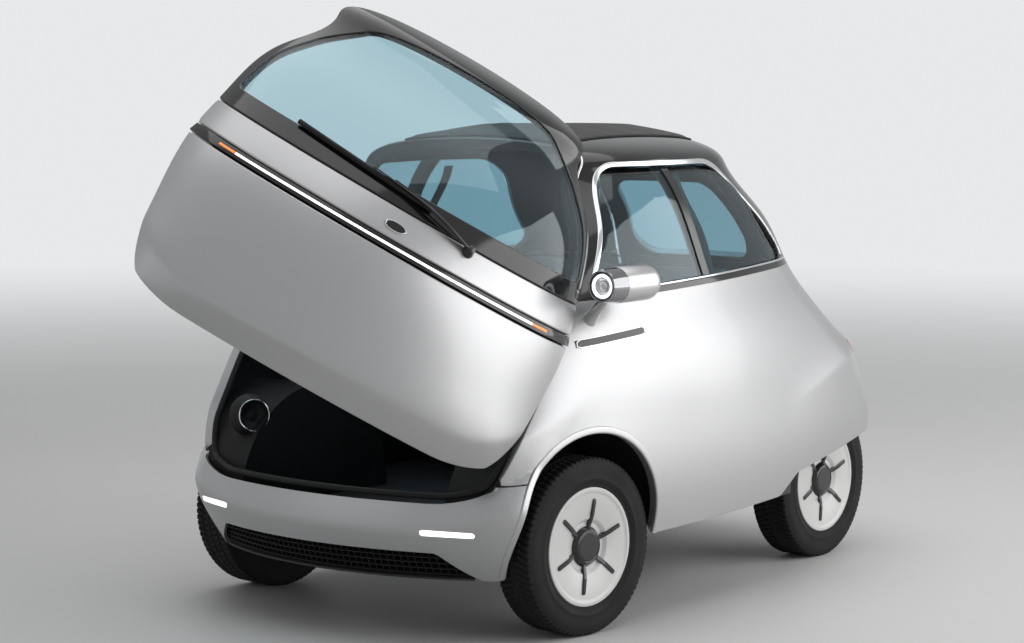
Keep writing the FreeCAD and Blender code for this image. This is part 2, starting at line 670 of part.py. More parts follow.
for name, side in (("wheelhouse_left", LEFT), ("wheelhouse_right", RIGHT)):
    liner = drum(side, drum_radius, foot).cut(drum(side, drum_radius - 6, foot + 6)).common(inside)
    liner = liner.common(block(-FAR, -FAR, floor_low, 2 * FAR, 2 * FAR, FAR))
    keep(name, solids_of(liner))


def bound_box(name, **expressions):
    """Part::Box whose sizes and corner are bound to the sheet."""
    item = doc.addObject("Part::Box", name)
    for prop, expression in expressions.items():
        item.setExpression(prop.replace("_", "."), expression)
    return item


battery = bound_box(
    "battery_box", Length="2 * 380 mm", Width="420 mm", Height="130 mm", Placement_Base_x="-380 mm",
    Placement_Base_y="sizes.seat_front * 1 mm + 20 mm",
    Placement_Base_z="(sizes.floor_height + sizes.floor_thickness + sizes.rest_gap) * 1 mm")
keep("battery_box", battery)

seat_low = floor_top + rest + 130 + rest
seat_half, seat_y = size("seat_half_width"), size("seat_front")
cushion = block(-seat_half, seat_y - 30, seat_low, 2 * seat_half, 490, size("seat_top") - seat_low)
cushion = cushion.makeFillet(30, cushion.Edges)
keep("seat_cushion", cushion)
back_low = 580 + rest
back_edges = rounded(side_points([
    (seat_y + 395, back_low), (seat_y + 540, back_low), (seat_y + 640, 1030), (seat_y + 520, 1050),
]), [20, 20, 45, 45])
back = side_prism(back_edges, -seat_half, seat_half)
keep("seat_back", back)

column_x, column_y, column_z = 240, 300, 810
rake = Vector(0, math.cos(math.radians(40)), math.sin(math.radians(40)))
hub_centre = Vector(column_x, column_y, column_z)
column_tube = Part.makeCylinder(26, 332 - rest, hub_centre - rake * 370, rake)
column_foot = block(column_x - 40, -60, floor_top + rest, 80, 110, 285)
upright_edges = [edge for edge in column_foot.Edges if abs(edge.tangentAt(0).z) > 0.9]
column_foot = column_foot.makeFillet(14, upright_edges)
keep("steering_column", solids_of(column_tube.fuse(column_foot).removeSplitter()))

ring = Part.makeTorus(165, 14, hub_centre, rake)
boss = Part.makeCylinder(34, 38, hub_centre - rake * 38, rake)
across = Part.makeCylinder(11, 330, hub_centre - X_AXIS * 165 - rake * 10, X_AXIS)
lower = rake.cross(X_AXIS)
down = Part.makeCylinder(11, 165, hub_centre - rake * 10, lower if lower.z < 0 else lower * -1)
keep("steering_wheel", solids_of(ring.fuse([boss, across, down]).removeSplitter()))

belt_zone = block(-FAR, 704, 600, 2 * FAR, 48, 770)
webs = body_loft(wall + rest).cut(body_loft(wall + 3)).common(belt_zone)
reels = body_loft(wall + 3 + rest).cut(body_loft(wall + 52)).common(block(-FAR, 690, 590, 2 * FAR, 76, 90))
keep("seat_belts", Part.makeCompound(webs.Solids))
keep("belt_reels", Part.makeCompound(reels.Solids))

side_pods = []
for side in (LEFT, RIGHT):
    start = Vector(side * (foot - rest), -190, 500)
    side_pods.append(Part.makeCone(70, 52, 46, start, Vector(-side, 0, 0)))
keep("footwell_speakers", Part.makeCompound(side_pods))

# ---------------------------------------------------------------- running gear
king_x, king_len = size("kingpin_across"), size("kingpin_length")
arm_thick = 22
lower_arm_z = hub_z - king_len / 2 - arm_thick / 2
upper_arm_z = hub_z + king_len / 2 - arm_thick / 2


def arm(side, inner, spread, height, end=0.0):
    points = [
        Vector(side * inner, -spread, height), Vector(side * inner, spread, height),
        Vector(side * king_x, 20, height), Vector(side * king_x, -20, height),
    ]
    plate = Part.Face(Part.makePolygon(points + points[:1])).extrude(Vector(0, 0, arm_thick))
    plate = plate.fuse(Part.makeCylinder(22, arm_thick, Vector(side * king_x, 0, height)))
    pin_hole = Part.makeCylinder(13 + rest, arm_thick, Vector(side * king_x, 0, height))
    return plate.cut(pin_hole).removeSplitter()


member_top = floor_low - rest
member = block(-300, -75, lower_arm_z, 600, 150, member_top - lower_arm_z)
member = member.cut(block(-240, -90, lower_arm_z - 1, 480, 180, 60))
for side in (LEFT, RIGHT):
    member = member.fuse(arm(side, 290, 72, lower_arm_z))
keep("front_subframe", solids_of(member.removeSplitter()))

suspension = []
strut_across, strut_radius, cap_radius = 466, 24, 28
for side in (LEFT, RIGHT):
    wishbone = arm(side, foot + 6 + rest, 72, upper_arm_z)
    strut_middle = Vector(side * strut_across, 0, upper_arm_z - 10)
    wishbone = wishbone.cut(Part.makeCylinder(strut_radius + 6, 60, strut_middle))
    strut_low = lower_arm_z + arm_thick + rest
    strut_top = arch_z + math.sqrt((drum_radius - 6) ** 2 - (cap_radius + abs(arch_y)) ** 2) - rest
    strut = Part.makeCylinder(10, strut_top - strut_low, Vector(side * strut_across, 0, strut_low))
    coil_start = Vector(side * strut_across, 0, strut_low + 80)
    strut = strut.fuse(Part.makeCylinder(strut_radius, strut_top - strut_low - 90, coil_start))
    strut = strut.fuse(Part.makeCylinder(cap_radius, 8, Vector(side * strut_across, 0, strut_top - 8)))
    suspension += [wishbone, solids_of(strut.removeSplitter())]
keep("front_suspension", Part.makeCompound(suspension))

turned = {}
for name, side in (("front_left", LEFT), ("front_right", RIGHT)):
    centre = Vector(side * king_x, 0, 0)
    turned[name] = Placement(Vector(), Rotation(Z_AXIS, -size("steer_now")), centre)
    base = lower_arm_z + arm_thick + rest
    upright = block(side * (king_x - 3) - 15, -24, base, 30, 48, upper_arm_z - rest - base)
    pivot = Part.makeCylinder(13, king_len + arm_thick + 12, Vector(side * king_x, 0, lower_arm_z - 6))
    stub_run = size("front_track") / 2 + 46 - king_x - 12
    stub_start = Vector(side * (king_x + 12), 0, hub_z)
    stub = Part.makeCylinder(size("hub_bore") / 2 - rest, stub_run, stub_start, Vector(side, 0, 0))
    lug = block(side * king_x - 12, 0, hub_z - 60, 24, 105, 20)
    keep(name + "_knuckle", solids_of(upright.fuse([stub, lug, pivot]).removeSplitter()), turned[name])


def wheel_profile(points):
    edges = [Part.makeLine(a, b) for a, b in zip(points, points[1:] + points[:1])]
    return Part.Face(Part.Wire(edges))


def tyre_shape(side, across, along):
    """Tyre: round shoulders, straight tread, open inside down to the rim."""
    outer, inner = size("tyre_diameter") / 2, size("rim_diameter") / 2
    half = size("tyre_width") / 2
    centre = Vector(across, along, hub_z)

    def spot(x, radius):
        return centre + Vector(x, 0, radius)

    tread, shoulder = half - 16, outer - 20
    edges = [
        Part.makeLine(spot(-tread, outer), spot(tread, outer)),
        Part.Arc(spot(tread, outer), spot(half - 6, outer - 7), spot(half - 1, shoulder)).toShape(),
        Part.Arc(spot(half - 1, shoulder), spot(half, outer - 50), spot(half - 10, inner + 14)).toShape(),
        Part.makeLine(spot(half - 10, inner + 14), spot(half - 14, inner)),
        Part.makeLine(spot(half - 14, inner), spot(14 - half, inner)),
        Part.makeLine(spot(14 - half, inner), spot(10 - half, inner + 14)),
        Part.Arc(spot(10 - half, inner + 14), spot(-half, outer - 50), spot(1 - half, shoulder)).toShape(),
        Part.Arc(spot(1 - half, shoulder), spot(6 - half, outer - 7), spot(-tread, outer)).toShape(),
    ]
    return Part.Face(Part.Wire(edges)).revolve(centre, X_AXIS, 360)


def rim_shape(side, across, along):
    """Rim barrel, centre disc, dished cover and hub in one revolved form."""
    radius, bore = size("rim_diameter") / 2 - rest, size("hub_bore") / 2
    half, thick = size("tyre_width") / 2 - 14, size("rim_wall")
    cover, out = size("cover_diameter") / 2, size("cover_offset")
    centre = Vector(across, along, hub_z)
    points = [
        (-half, radius), (-half, radius - thick), (16, radius - thick), (24, 92), (24, 46),
        (-3, 46), (-3, bore),
        (48, bore), (48, 0), (out + 6, 0), (out + 6, 36), (out, 40), (out - 6, cover - 46),
        (out - 1, cover - 12), (out - 1, cover), (out - 5, cover), (half, radius - 6), (half, radius),
    ]
    spots = [centre + Vector(side * x, 0, r) for x, r in points]
    return wheel_profile(spots).revolve(centre, X_AXIS, 360)


for name, side, along, track in (
    ("front_left", LEFT, 0, "front_track"), ("front_right", RIGHT, 0, "front_track"),
    ("rear_left", LEFT, size("wheelbase"), "rear_track"),
    ("rear_right", RIGHT, size("wheelbase"), "rear_track"),
):
    across = side * size(track) / 2
    keep(name + "_tyre", tyre_shape(side, across, along), turned.get(name))
    keep(name + "_wheel", rim_shape(side, across, along), turned.get(name))

rear_y = size("wheelbase")
halves = []
axle_inner = 140.3
for side in (LEFT, RIGHT):
    start = Vector(side * axle_inner, rear_y, hub_z)
    reach = size("rear_track") / 2 + 40 - axle_inner
    tube = Part.makeCylinder(size("hub_bore") / 2 - rest, reach, start, Vector(side, 0, 0))
    arm_y = 1000
    arm_top = floor_low - rest - hub_z
    trail = block(side * 330 - 22, arm_y, hub_z - 30, 44, rear_y - arm_y + 30, arm_top + 30)
    bracket = block(side * 330 - 30, arm_y - 20, hub_z - 40, 60, 70, arm_top + 40)
    damper = Part.makeCylinder(20, 560 - rest - hub_z - 10, Vector(side * 300, rear_y + 10, hub_z + 10))
    halves.append(solids_of(tube.fuse([trail, bracket, damper]).removeSplitter()))
keep("rear_axle", Part.makeCompound(halves))
motor = bound_box(
    "drive_motor", Length="280 mm", Width="260 mm", Height="190 mm", Placement_Base_x="-140 mm",
    Placement_Base_y="sizes.wheelbase * 1 mm - 130 mm",
    Placement_Base_z="sizes.tyre_diameter / 2 * 1 mm - 95 mm")
keep("drive_motor", motor)

# ---------------------------------------------------------------- write the files
doc.recompute()
os.makedirs("parts", exist_ok=True)
for item in doc.Objects:
    bad = [state for state in item.State if state in ("Invalid", "Error")]
    if bad:
        raise RuntimeError("%s is %s" % (item.Label, bad))
for name, item in parts.items():
    if item.Shape.isNull() or not item.Shape.isValid():
        raise RuntimeError("%s has a bad shape" % name)
for name, item in parts.items():
    item.Shape.exportStep("parts/%s.step" % name)
    print(name, len(item.Shape.Solids), "solids", round(item.Shape.Volume / 1e6, 2), "litres")
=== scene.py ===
import json
import math

import bmesh
import bpy
import numpy as np
from mathutils import Matrix, Vector


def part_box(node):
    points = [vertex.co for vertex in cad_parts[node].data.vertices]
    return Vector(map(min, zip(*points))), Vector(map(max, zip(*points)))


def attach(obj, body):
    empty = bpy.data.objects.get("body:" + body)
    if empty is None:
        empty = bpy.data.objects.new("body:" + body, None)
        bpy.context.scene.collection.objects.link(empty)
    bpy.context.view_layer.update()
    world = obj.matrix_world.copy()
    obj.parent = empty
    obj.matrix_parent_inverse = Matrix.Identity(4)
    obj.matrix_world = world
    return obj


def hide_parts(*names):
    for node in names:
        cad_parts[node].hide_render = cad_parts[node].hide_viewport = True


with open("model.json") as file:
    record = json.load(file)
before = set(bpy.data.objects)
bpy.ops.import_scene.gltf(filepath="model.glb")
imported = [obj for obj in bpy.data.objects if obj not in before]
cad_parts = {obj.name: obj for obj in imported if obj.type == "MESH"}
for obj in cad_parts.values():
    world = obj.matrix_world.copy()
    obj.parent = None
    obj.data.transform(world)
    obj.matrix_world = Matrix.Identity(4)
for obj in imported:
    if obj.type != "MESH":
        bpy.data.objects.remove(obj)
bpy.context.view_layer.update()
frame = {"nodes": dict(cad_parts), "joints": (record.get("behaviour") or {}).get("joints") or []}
joints = {joint["name"]: joint for joint in frame["joints"]}
sides = {"left": 1, "right": -1}


# the body form: horizontal sections blended upwards
bodyForm = {
    "halfWidth": 0.7365, "nose": -0.515, "tail": 2.004,
    "sideTurn": 12, "frontTurn": 66, "rearTurn": 62,  # headings where the plan arcs meet
    # height, inset, widest station, nose set-back, tail set-back, front corner, rear corner
    "levels": (
        (0.180, 0.036, 0.420, 0.060, 0.109, 0.400, 0.400),
        (0.400, 0.000, 0.400, 0.000, 0.000, 0.200, 0.290),
        (0.640, 0.000, 0.380, 0.025, 0.014, 0.395, 0.480),
        (0.880, 0.028, 0.380, 0.110, 0.234, 0.510, 0.600),
        (1.000, 0.071, 0.400, 0.190, 0.354, 0.480, 0.590),
        (1.200, 0.144, 0.450, 0.395, 0.504, 0.405, 0.500),
        (1.360, 0.236, 0.550, 0.585, 0.684, 0.335, 0.385),
        (1.450, 0.351, 0.650, 0.745, 0.849, 0.285, 0.290),
        (1.487, 0.536, 0.750, 0.995, 1.024, 0.150, 0.140),
    ),
    "referenceHeight": 0.64,
}
levelTable = np.array(bodyForm["levels"])
levelZ = levelTable[:, 0]


def naturalSpline(x, y):
    # second derivatives of the smooth curve through the levels, free at both ends
    count = len(x)
    step = np.diff(x)
    grid = np.eye(count)
    right = np.zeros((count, y.shape[1]))
    for i in range(1, count - 1):
        grid[i, i - 1:i + 2] = step[i - 1], 2 * (step[i - 1] + step[i]), step[i]
        right[i] = 6 * ((y[i + 1] - y[i]) / step[i] - (y[i] - y[i - 1]) / step[i - 1])
    return np.linalg.solve(grid, right)


levelBend = naturalSpline(levelZ, levelTable[:, 1:])


def sectionAt(z):
    # half width, widest station, reach forwards, reach backwards, front and rear corner radius
    z = np.atleast_1d(np.asarray(z, float))
    index = np.clip(np.searchsorted(levelZ, z) - 1, 0, len(levelZ) - 2)
    low, high = levelZ[index], levelZ[index + 1]
    step = high - low
    a, b = (high - z) / step, (z - low) / step
    values = levelTable[:, 1:]
    mix = a[:, None] * values[index] + b[:, None] * values[index + 1]
    bend = (a ** 3 - a)[:, None] * levelBend[index] + (b ** 3 - b)[:, None] * levelBend[index + 1]
    inset, widest, noseBack, tailBack, frontCorner, rearCorner = (mix + bend * (step ** 2)[:, None] / 6).T
    width = bodyForm["halfWidth"] - inset
    forward = widest - bodyForm["nose"] - noseBack
    backward = bodyForm["tail"] - tailBack - widest
    return width, widest, forward, backward, frontCorner, rearCorner


def arcRadii(width, length, corner, turn):
    a, b = math.radians(bodyForm["sideTurn"]), np.radians(turn)
    across = width - corner * (np.cos(a) - np.cos(b))
    along = length - corner * (np.sin(b) - np.sin(a))
    det = (1 - np.cos(a)) * (1 - np.sin(b)) - np.cos(b) * np.sin(a)
    side = (across * (1 - np.sin(b)) - np.cos(b) * along) / det
    end = ((1 - np.cos(a)) * along - np.sin(a) * across) / det
    return side, end


def perimeterKnots():
    # distance from the middle of the nose at which the heading reaches each arc's end
    z = np.array([bodyForm["referenceHeight"]])
    width, _, forward, backward, frontCorner, rearCorner = sectionAt(z)
    knots, headings, run = [0.0], [90.0], 0.0
    for length, corner, turn, sign in (
        (forward, frontCorner, bodyForm["frontTurn"], 1), (backward, rearCorner, bodyForm["rearTurn"], -1),
    ):
        side, end = arcRadii(width, length, corner, turn)
        a = bodyForm["sideTurn"]
        stages = [(end[0] * math.radians(90 - turn), turn), (corner[0] * math.radians(turn - a), a),
                  (side[0] * math.radians(a), 0)]
        if sign < 0:
            stages = [(stages[2][0], a), (stages[1][0], turn), (stages[0][0], 90)]
        for distance, heading in stages:
            run += distance
            knots.append(run)
            headings.append(sign * heading)
    return np.array(knots), np.array(headings)


knotU, knotHeading = perimeterKnots()
vStep = np.hypot(np.diff(levelZ), 0.5 * (np.diff(levelTable[:, 1]) + np.diff(levelTable[:, 3])))
knotV = levelZ[0] + np.concatenate([[0.0], np.cumsum(vStep)])
uTail, vTop = knotU[-1], knotV[-1]


def formPoint(u, v):
    u, v = np.broadcast_arrays(np.asarray(u, float), np.asarray(v, float))
    u = np.where(np.abs(u) > uTail, u - 2 * uTail * np.sign(u), u)  # past the middle of the tail
    z = np.interp(v, knotV, levelZ)
    heading = np.interp(np.abs(u), knotU, knotHeading)
    front = heading >= 0
    width, widest, forward, backward, frontCorner, rearCorner = sectionAt(z)
    length = np.where(front, forward, backward)
    corner = np.where(front, frontCorner, rearCorner)
    turn = np.where(front, bodyForm["frontTurn"], bodyForm["rearTurn"])
    side, end = arcRadii(width, length, corner, turn)
    a, b, t = math.radians(bodyForm["sideTurn"]), np.radians(turn), np.radians(np.abs(heading))
    first, second, third = np.minimum(t, a), np.clip(t, a, b), np.maximum(t, b)
    across = (side * (1 - np.cos(first)) + corner * (np.cos(a) - np.cos(second))
              + end * (np.cos(b) - np.cos(third)))
    along = side * np.sin(first) + corner * (np.sin(second) - np.sin(a)) + end * (np.sin(third) - np.sin(b))
    x = np.sign(u) * (width - across)
    y = widest + np.where(front, -1, 1) * along
    return np.stack([x, y, z], -1)


def formNormal(u, v):
    tiny = 2e-4
    level = np.clip(v, knotV[0] + tiny, vTop - tiny)
    middle = formPoint(u, level)
    alongU = formPoint(u + tiny, level) - formPoint(u - tiny, level)
    alongV = formPoint(u, np.clip(v + tiny, None, vTop)) - formPoint(u, np.clip(v - tiny, knotV[0], None))
    normal = np.cross(alongU, alongV)
    normal /= np.linalg.norm(normal, axis=-1, keepdims=True) + 1e-12
    outward = middle * np.array([1, 1, 0]) - np.array([0, 0.5, -0.2])
    normal[np.sum(normal * outward, -1) < 0] *= -1
    return normal


def uOnSide(y, z, side=1):
    # perimeter place of a point seen from the side
    y, z = np.broadcast_arrays(np.asarray(y, float), np.asarray(z, float))
    width, widest, forward, backward, frontCorner, rearCorner = sectionAt(z)
    front = y < widest
    length = np.where(front, forward, backward)
    corner = np.where(front, frontCorner, rearCorner)
    turn = np.where(front, bodyForm["frontTurn"], bodyForm["rearTurn"])
    radius, end = arcRadii(width, length, corner, turn)
    a, b = math.radians(bodyForm["sideTurn"]), np.radians(turn)
    along = np.abs(y - widest)
    first = radius * np.sin(a)
    second = first + corner * (np.sin(b) - np.sin(a))
    t = np.where(along <= first, np.arcsin(np.clip(along / radius, 0, 1)),
                 np.where(along <= second, np.arcsin(np.clip(np.sin(a) + (along - first) / corner, 0, 1)),
                          np.arcsin(np.clip(np.sin(b) + (along - second) / end, 0, 1))))
    heading = np.degrees(t) * np.where(front, 1, -1)
    return side * np.interp(-heading, -knotHeading, knotU)


def uOnFront(x, z):
    # perimeter place of a point seen from the front
    x, z = np.broadcast_arrays(np.asarray(x, float), np.asarray(z, float))
    width, _, forward, _, corner, _ = sectionAt(z)
    radius, end = arcRadii(width, forward, corner, bodyForm["frontTurn"])
    a, b = math.radians(bodyForm["sideTurn"]), math.radians(bodyForm["frontTurn"])
    across = width - np.abs(x)
    first = radius * (1 - np.cos(a))
    second = first + corner * (np.cos(a) - np.cos(b))
    t = np.where(across <= first, np.arccos(np.clip(1 - across / radius, -1, 1)),
                 np.where(across <= second,
                          np.arccos(np.clip(np.cos(a) - (across - first) / corner, -1, 1)),
                          np.arccos(np.clip(np.cos(b) - (across - second) / end, -1, 1))))
    return np.sign(x) * np.interp(-np.degrees(t), -knotHeading, knotU)


def vAt(z):
    return np.interp(z, levelZ, knotV)


# outlines drawn in side view or front view
def roundedOutline(points, radii, steps=10):
    result = []
    count = len(points)
    points = [np.array(point, float) for point in points]
    for i, corner in enumerate(points):
        before = points[i - 1] - corner
        after = points[(i + 1) % count] - corner
        before, after = before / np.linalg.norm(before), after / np.linalg.norm(after)
        radius = radii[i] if isinstance(radii, (list, tuple)) else radii
        if radius <= 0:
            result.append(corner)
            continue
        half = math.acos(np.clip(before @ after, -1, 1)) / 2
        centre = corner + (before + after) / np.linalg.norm(before + after) * radius / math.sin(half)
        first = corner + before * radius / math.tan(half) - centre
        last = corner + after * radius / math.tan(half) - centre
        sweep = math.pi - 2 * half
        for k in range(steps + 1):
            t = k / steps
            result.append(centre + (first * math.sin((1 - t) * sweep) + last * math.sin(t * sweep))
                          / math.sin(sweep))
    return np.array(result)


def outlineDistance(points, outline):
    # distance to a closed outline, negative inside it
    best = np.full(len(points), 1e9)
    inside = np.zeros(len(points), bool)
    for a, b in zip(outline, np.roll(outline, -1, 0)):
        edge, away = b - a, points - a
        span = edge @ edge
        if span < 1e-14:
            continue
        t = np.clip(away @ edge / span, 0, 1)
        best = np.minimum(best, np.sum((away - t[:, None] * edge) ** 2, 1))
        crosses = (a[1] > points[:, 1]) != (b[1] > points[:, 1])
        with np.errstate(divide="ignore", invalid="ignore"):
            x = a[0] + (points[:, 1] - a[1]) * edge[0] / edge[1]
        inside ^= crosses & (points[:, 0] < x)
    return np.where(inside, -1, 1) * np.sqrt(best)


def sideView(points):
    return points[:, 1:3]


def frontView(points):
    return points[:, ::2]


doorHinge = joints["front_door_hinge"]
hingePoint = Vector(doorHinge["pos_m"])
hingeAxis = Vector(doorHinge["axis"]).normalized()
doorOpen = math.radians(-doorHinge["range_deg"][0])
doorPlace = Matrix.Translation(hingePoint) @ Matrix.Rotation(doorOpen, 4, hingeAxis)
doorPlace = doorPlace @ Matrix.Translation(-hingePoint)
seamLean = hingeAxis.y / hingeAxis.z

door = {
    "seam": 0.006, "seamAhead": 0.033, "bottom": 0.420, "corner": 0.235, "header": 1.420,
    "headerRadius": 0.070, "wall": 0.020, "reach": bodyForm["halfWidth"] + 0.060, "tuckWidth": 0.088,
    "tuckDepth": 0.034, "tuckSoft": 0.014, "cornerFrom": 0.640, "tuckEnds": 0.735, "frameLow": 0.982,
    "frameWidth": 0.044, "screenLow": 1.040, "screenHigh": 1.395, "barHeight": 0.880, "barDepth": 0.026,
}


def seamAlong(z):
    return hingePoint.y - door["seamAhead"] + (z - hingePoint.z) * seamLean


def doorSideOutline():
    top, low = door["header"], 0.300
    corner = np.array([seamAlong(top), top])
    return roundedOutline(
        [(-1.5, low), (seamAlong(low), low), corner, corner + np.array([-0.64, 0.77]) * 0.3, (-1.5, 1.7)],
        [0, 0, door["headerRadius"], 0, 0])


def doorFrontOutline(inset=0.0, steps=16):
    reach, bottom, high = door["reach"] - inset, door["bottom"] + inset, 1.75
    radius = door["corner"] + door["reach"] - door["cornerFrom"] - inset
    return roundedOutline(
        [(-reach, bottom), (reach, bottom), (reach, high), (-reach, high)], [radius, radius, 0, 0], steps)


doorSide, doorFront = doorSideOutline(), doorFrontOutline()


def doorDistance(points):
    behind = points[:, 1] > 1.0
    distance = np.maximum(outlineDistance(sideView(points), doorSide),
                          outlineDistance(frontView(points), doorFront))
    return np.where(behind, np.maximum(distance, 1.0), distance)


def smoothStep(share):
    share = np.clip(share, 0, 1)
    return share * share * (3 - 2 * share)


def tuckAt(points):
    # how far the skin turns inwards beside the door's lower edge, on the door and on the body
    distance = np.abs(outlineDistance(frontView(points), doorFront))
    ramp = 1 - distance / door["tuckWidth"]
    give = door["tuckSoft"]
    soft = 0.5 * (ramp + np.sqrt(ramp ** 2 + give)) - 0.5 * (-1 + math.sqrt(1 + give))
    soft = soft * smoothStep((door["tuckEnds"] - np.abs(points[:, 0])) / 0.10)
    return door["tuckDepth"] * soft * smoothStep((0.30 - points[:, 1]) / 0.45)


shoulder = {"foreY": 1.02, "foreZ": 0.575, "aftY": 1.70, "aftZ": 0.738, "height": 0.024, "above": 0.075,
            "below": 0.150, "round": 0.012, "fadeAlong": 0.60, "fadeFrom": 0.40, "fadeAcross": 0.14}


def shoulderAt(points):
    # soft crease that rises along the rear quarter towards the lamps
    line = np.interp(points[:, 1], [shoulder["foreY"], shoulder["aftY"]],
                     [shoulder["foreZ"], shoulder["aftZ"]])
    away = points[:, 2] - line
    reach = np.where(away > 0, shoulder["above"], shoulder["below"])
    ridge = np.exp(-(np.sqrt(away ** 2 + 1.5e-4) - shoulder["round"]) / reach)
    grow = smoothStep((points[:, 1] - shoulder["foreY"]) / shoulder["fadeAlong"])
    grow = grow * smoothStep((np.abs(points[:, 0]) - shoulder["fadeFrom"]) / shoulder["fadeAcross"])
    return shoulder["height"] * ridge * grow


def flankAt(points):
    return tuckAt(points) - shoulderAt(points)


# panels cut from the form, with rounded edges and real thickness
probe = 1e-3  # reach over which a panel's slopes are measured


def cutPatch(region, uRange, vRange, step, roll):
    # the part of the form inside the region: perimeter places, upward places and faces
    uCount = max(2, int(round((uRange[1] - uRange[0]) / step)))
    vCount = max(2, int(round((vRange[1] - vRange[0]) / step)))
    uLine, vLine = np.linspace(*uRange, uCount + 1), np.linspace(*vRange, vCount + 1)
    du, dv = uLine[1] - uLine[0], vLine[1] - vLine[0]
    u, v = (grid.ravel() for grid in np.meshgrid(uLine, vLine, indexing="ij"))

    def cut(uu, vv):
        return region(formPoint(uu, vv)) + roll

    def slope(uu, vv):
        high = np.clip(vv + probe, None, vTop)
        low = np.clip(vv - probe, knotV[0], None)
        slopeU = (cut(uu + probe, vv) - cut(uu - probe, vv)) / (2 * probe)
        return cut(uu, vv), slopeU, (cut(uu, high) - cut(uu, low)) / (high - low)

    value, gu, gv = slope(u, v)
    for _ in range(2):  # grid points near the edge are drawn onto it
        grade = gu ** 2 + gv ** 2 + 1e-9
        moveU, moveV = -value * gu / grade, -value * gv / grade
        near = (np.abs(moveU) < 0.42 * du) & (np.abs(moveV) < 0.42 * dv) & (np.abs(value) < step)
        near &= (v + moveV >= knotV[0]) & (v + moveV <= vTop)
        u, v = np.where(near, u + moveU, u), np.where(near, v + moveV, v)
        value, gu, gv = slope(u, v)
    value[np.abs(value) < 6e-4] = 0.0
    index = np.arange(len(u)).reshape(uCount + 1, vCount + 1)
    us, vs, keep = list(u), list(v), value <= 0
    crossings, faces = {}, []

    def crossing(a, b):
        key = (min(a, b), max(a, b))
        if key not in crossings:
            t = value[a] / (value[a] - value[b])
            us.append(u[a] + t * (u[b] - u[a]))
            vs.append(v[a] + t * (v[b] - v[a]))
            crossings[key] = len(us) - 1
        return crossings[key]

    corners = np.stack([index[:-1, :-1], index[1:, :-1], index[1:, 1:], index[:-1, 1:]], -1).reshape(-1, 4)
    inside = keep[corners]
    strict = (value < 0)[corners].any(1)
    for quad in corners[inside.all(1) & strict]:
        faces.append([int(i) for i in quad])
    for quad in corners[~inside.all(1) & strict]:
        loop = []
        for a, b in zip(quad, np.roll(quad, -1)):
            if keep[a]:
                loop.append(int(a))
            if (value[a] < 0 < value[b]) or (value[b] < 0 < value[a]):
                loop.append(crossing(int(a), int(b)))
        if len(loop) > 2:
            faces.append(loop)
    used = sorted({i for face in faces for i in face})
    renumber = {old: new for new, old in enumerate(used)}
    return np.array(us)[used], np.array(vs)[used], [[renumber[i] for i in face] for face in faces]


def shapedSkin(u, v, lift, shape):
    # points and normals of the form, lifted out and then moved inwards by the shape
    base, normal = formPoint(u, v), formNormal(u, v)
    if shape is None:
        return base - normal * np.full(len(u), -lift)[:, None], normal
    inward = np.full(len(u), -lift) + shape(base)
    alongU, alongV = formPoint(u + probe, v), formPoint(u, np.clip(v + probe, None, vTop))
    tiltU, tiltV = shape(alongU) - shape(base), shape(alongV) - shape(base)
    edgeU, edgeV = alongU - base - normal * tiltU[:, None], alongV - base - normal * tiltV[:, None]
    bent = np.cross(edgeU, edgeV)
    size = np.linalg.norm(bent, axis=-1, keepdims=True)
    bent = np.where(size > 1e-9, bent / (size + 1e-12), normal)
    bent[np.sum(bent * normal, -1) < 0] *= -1
    return base - normal * inward[:, None], bent


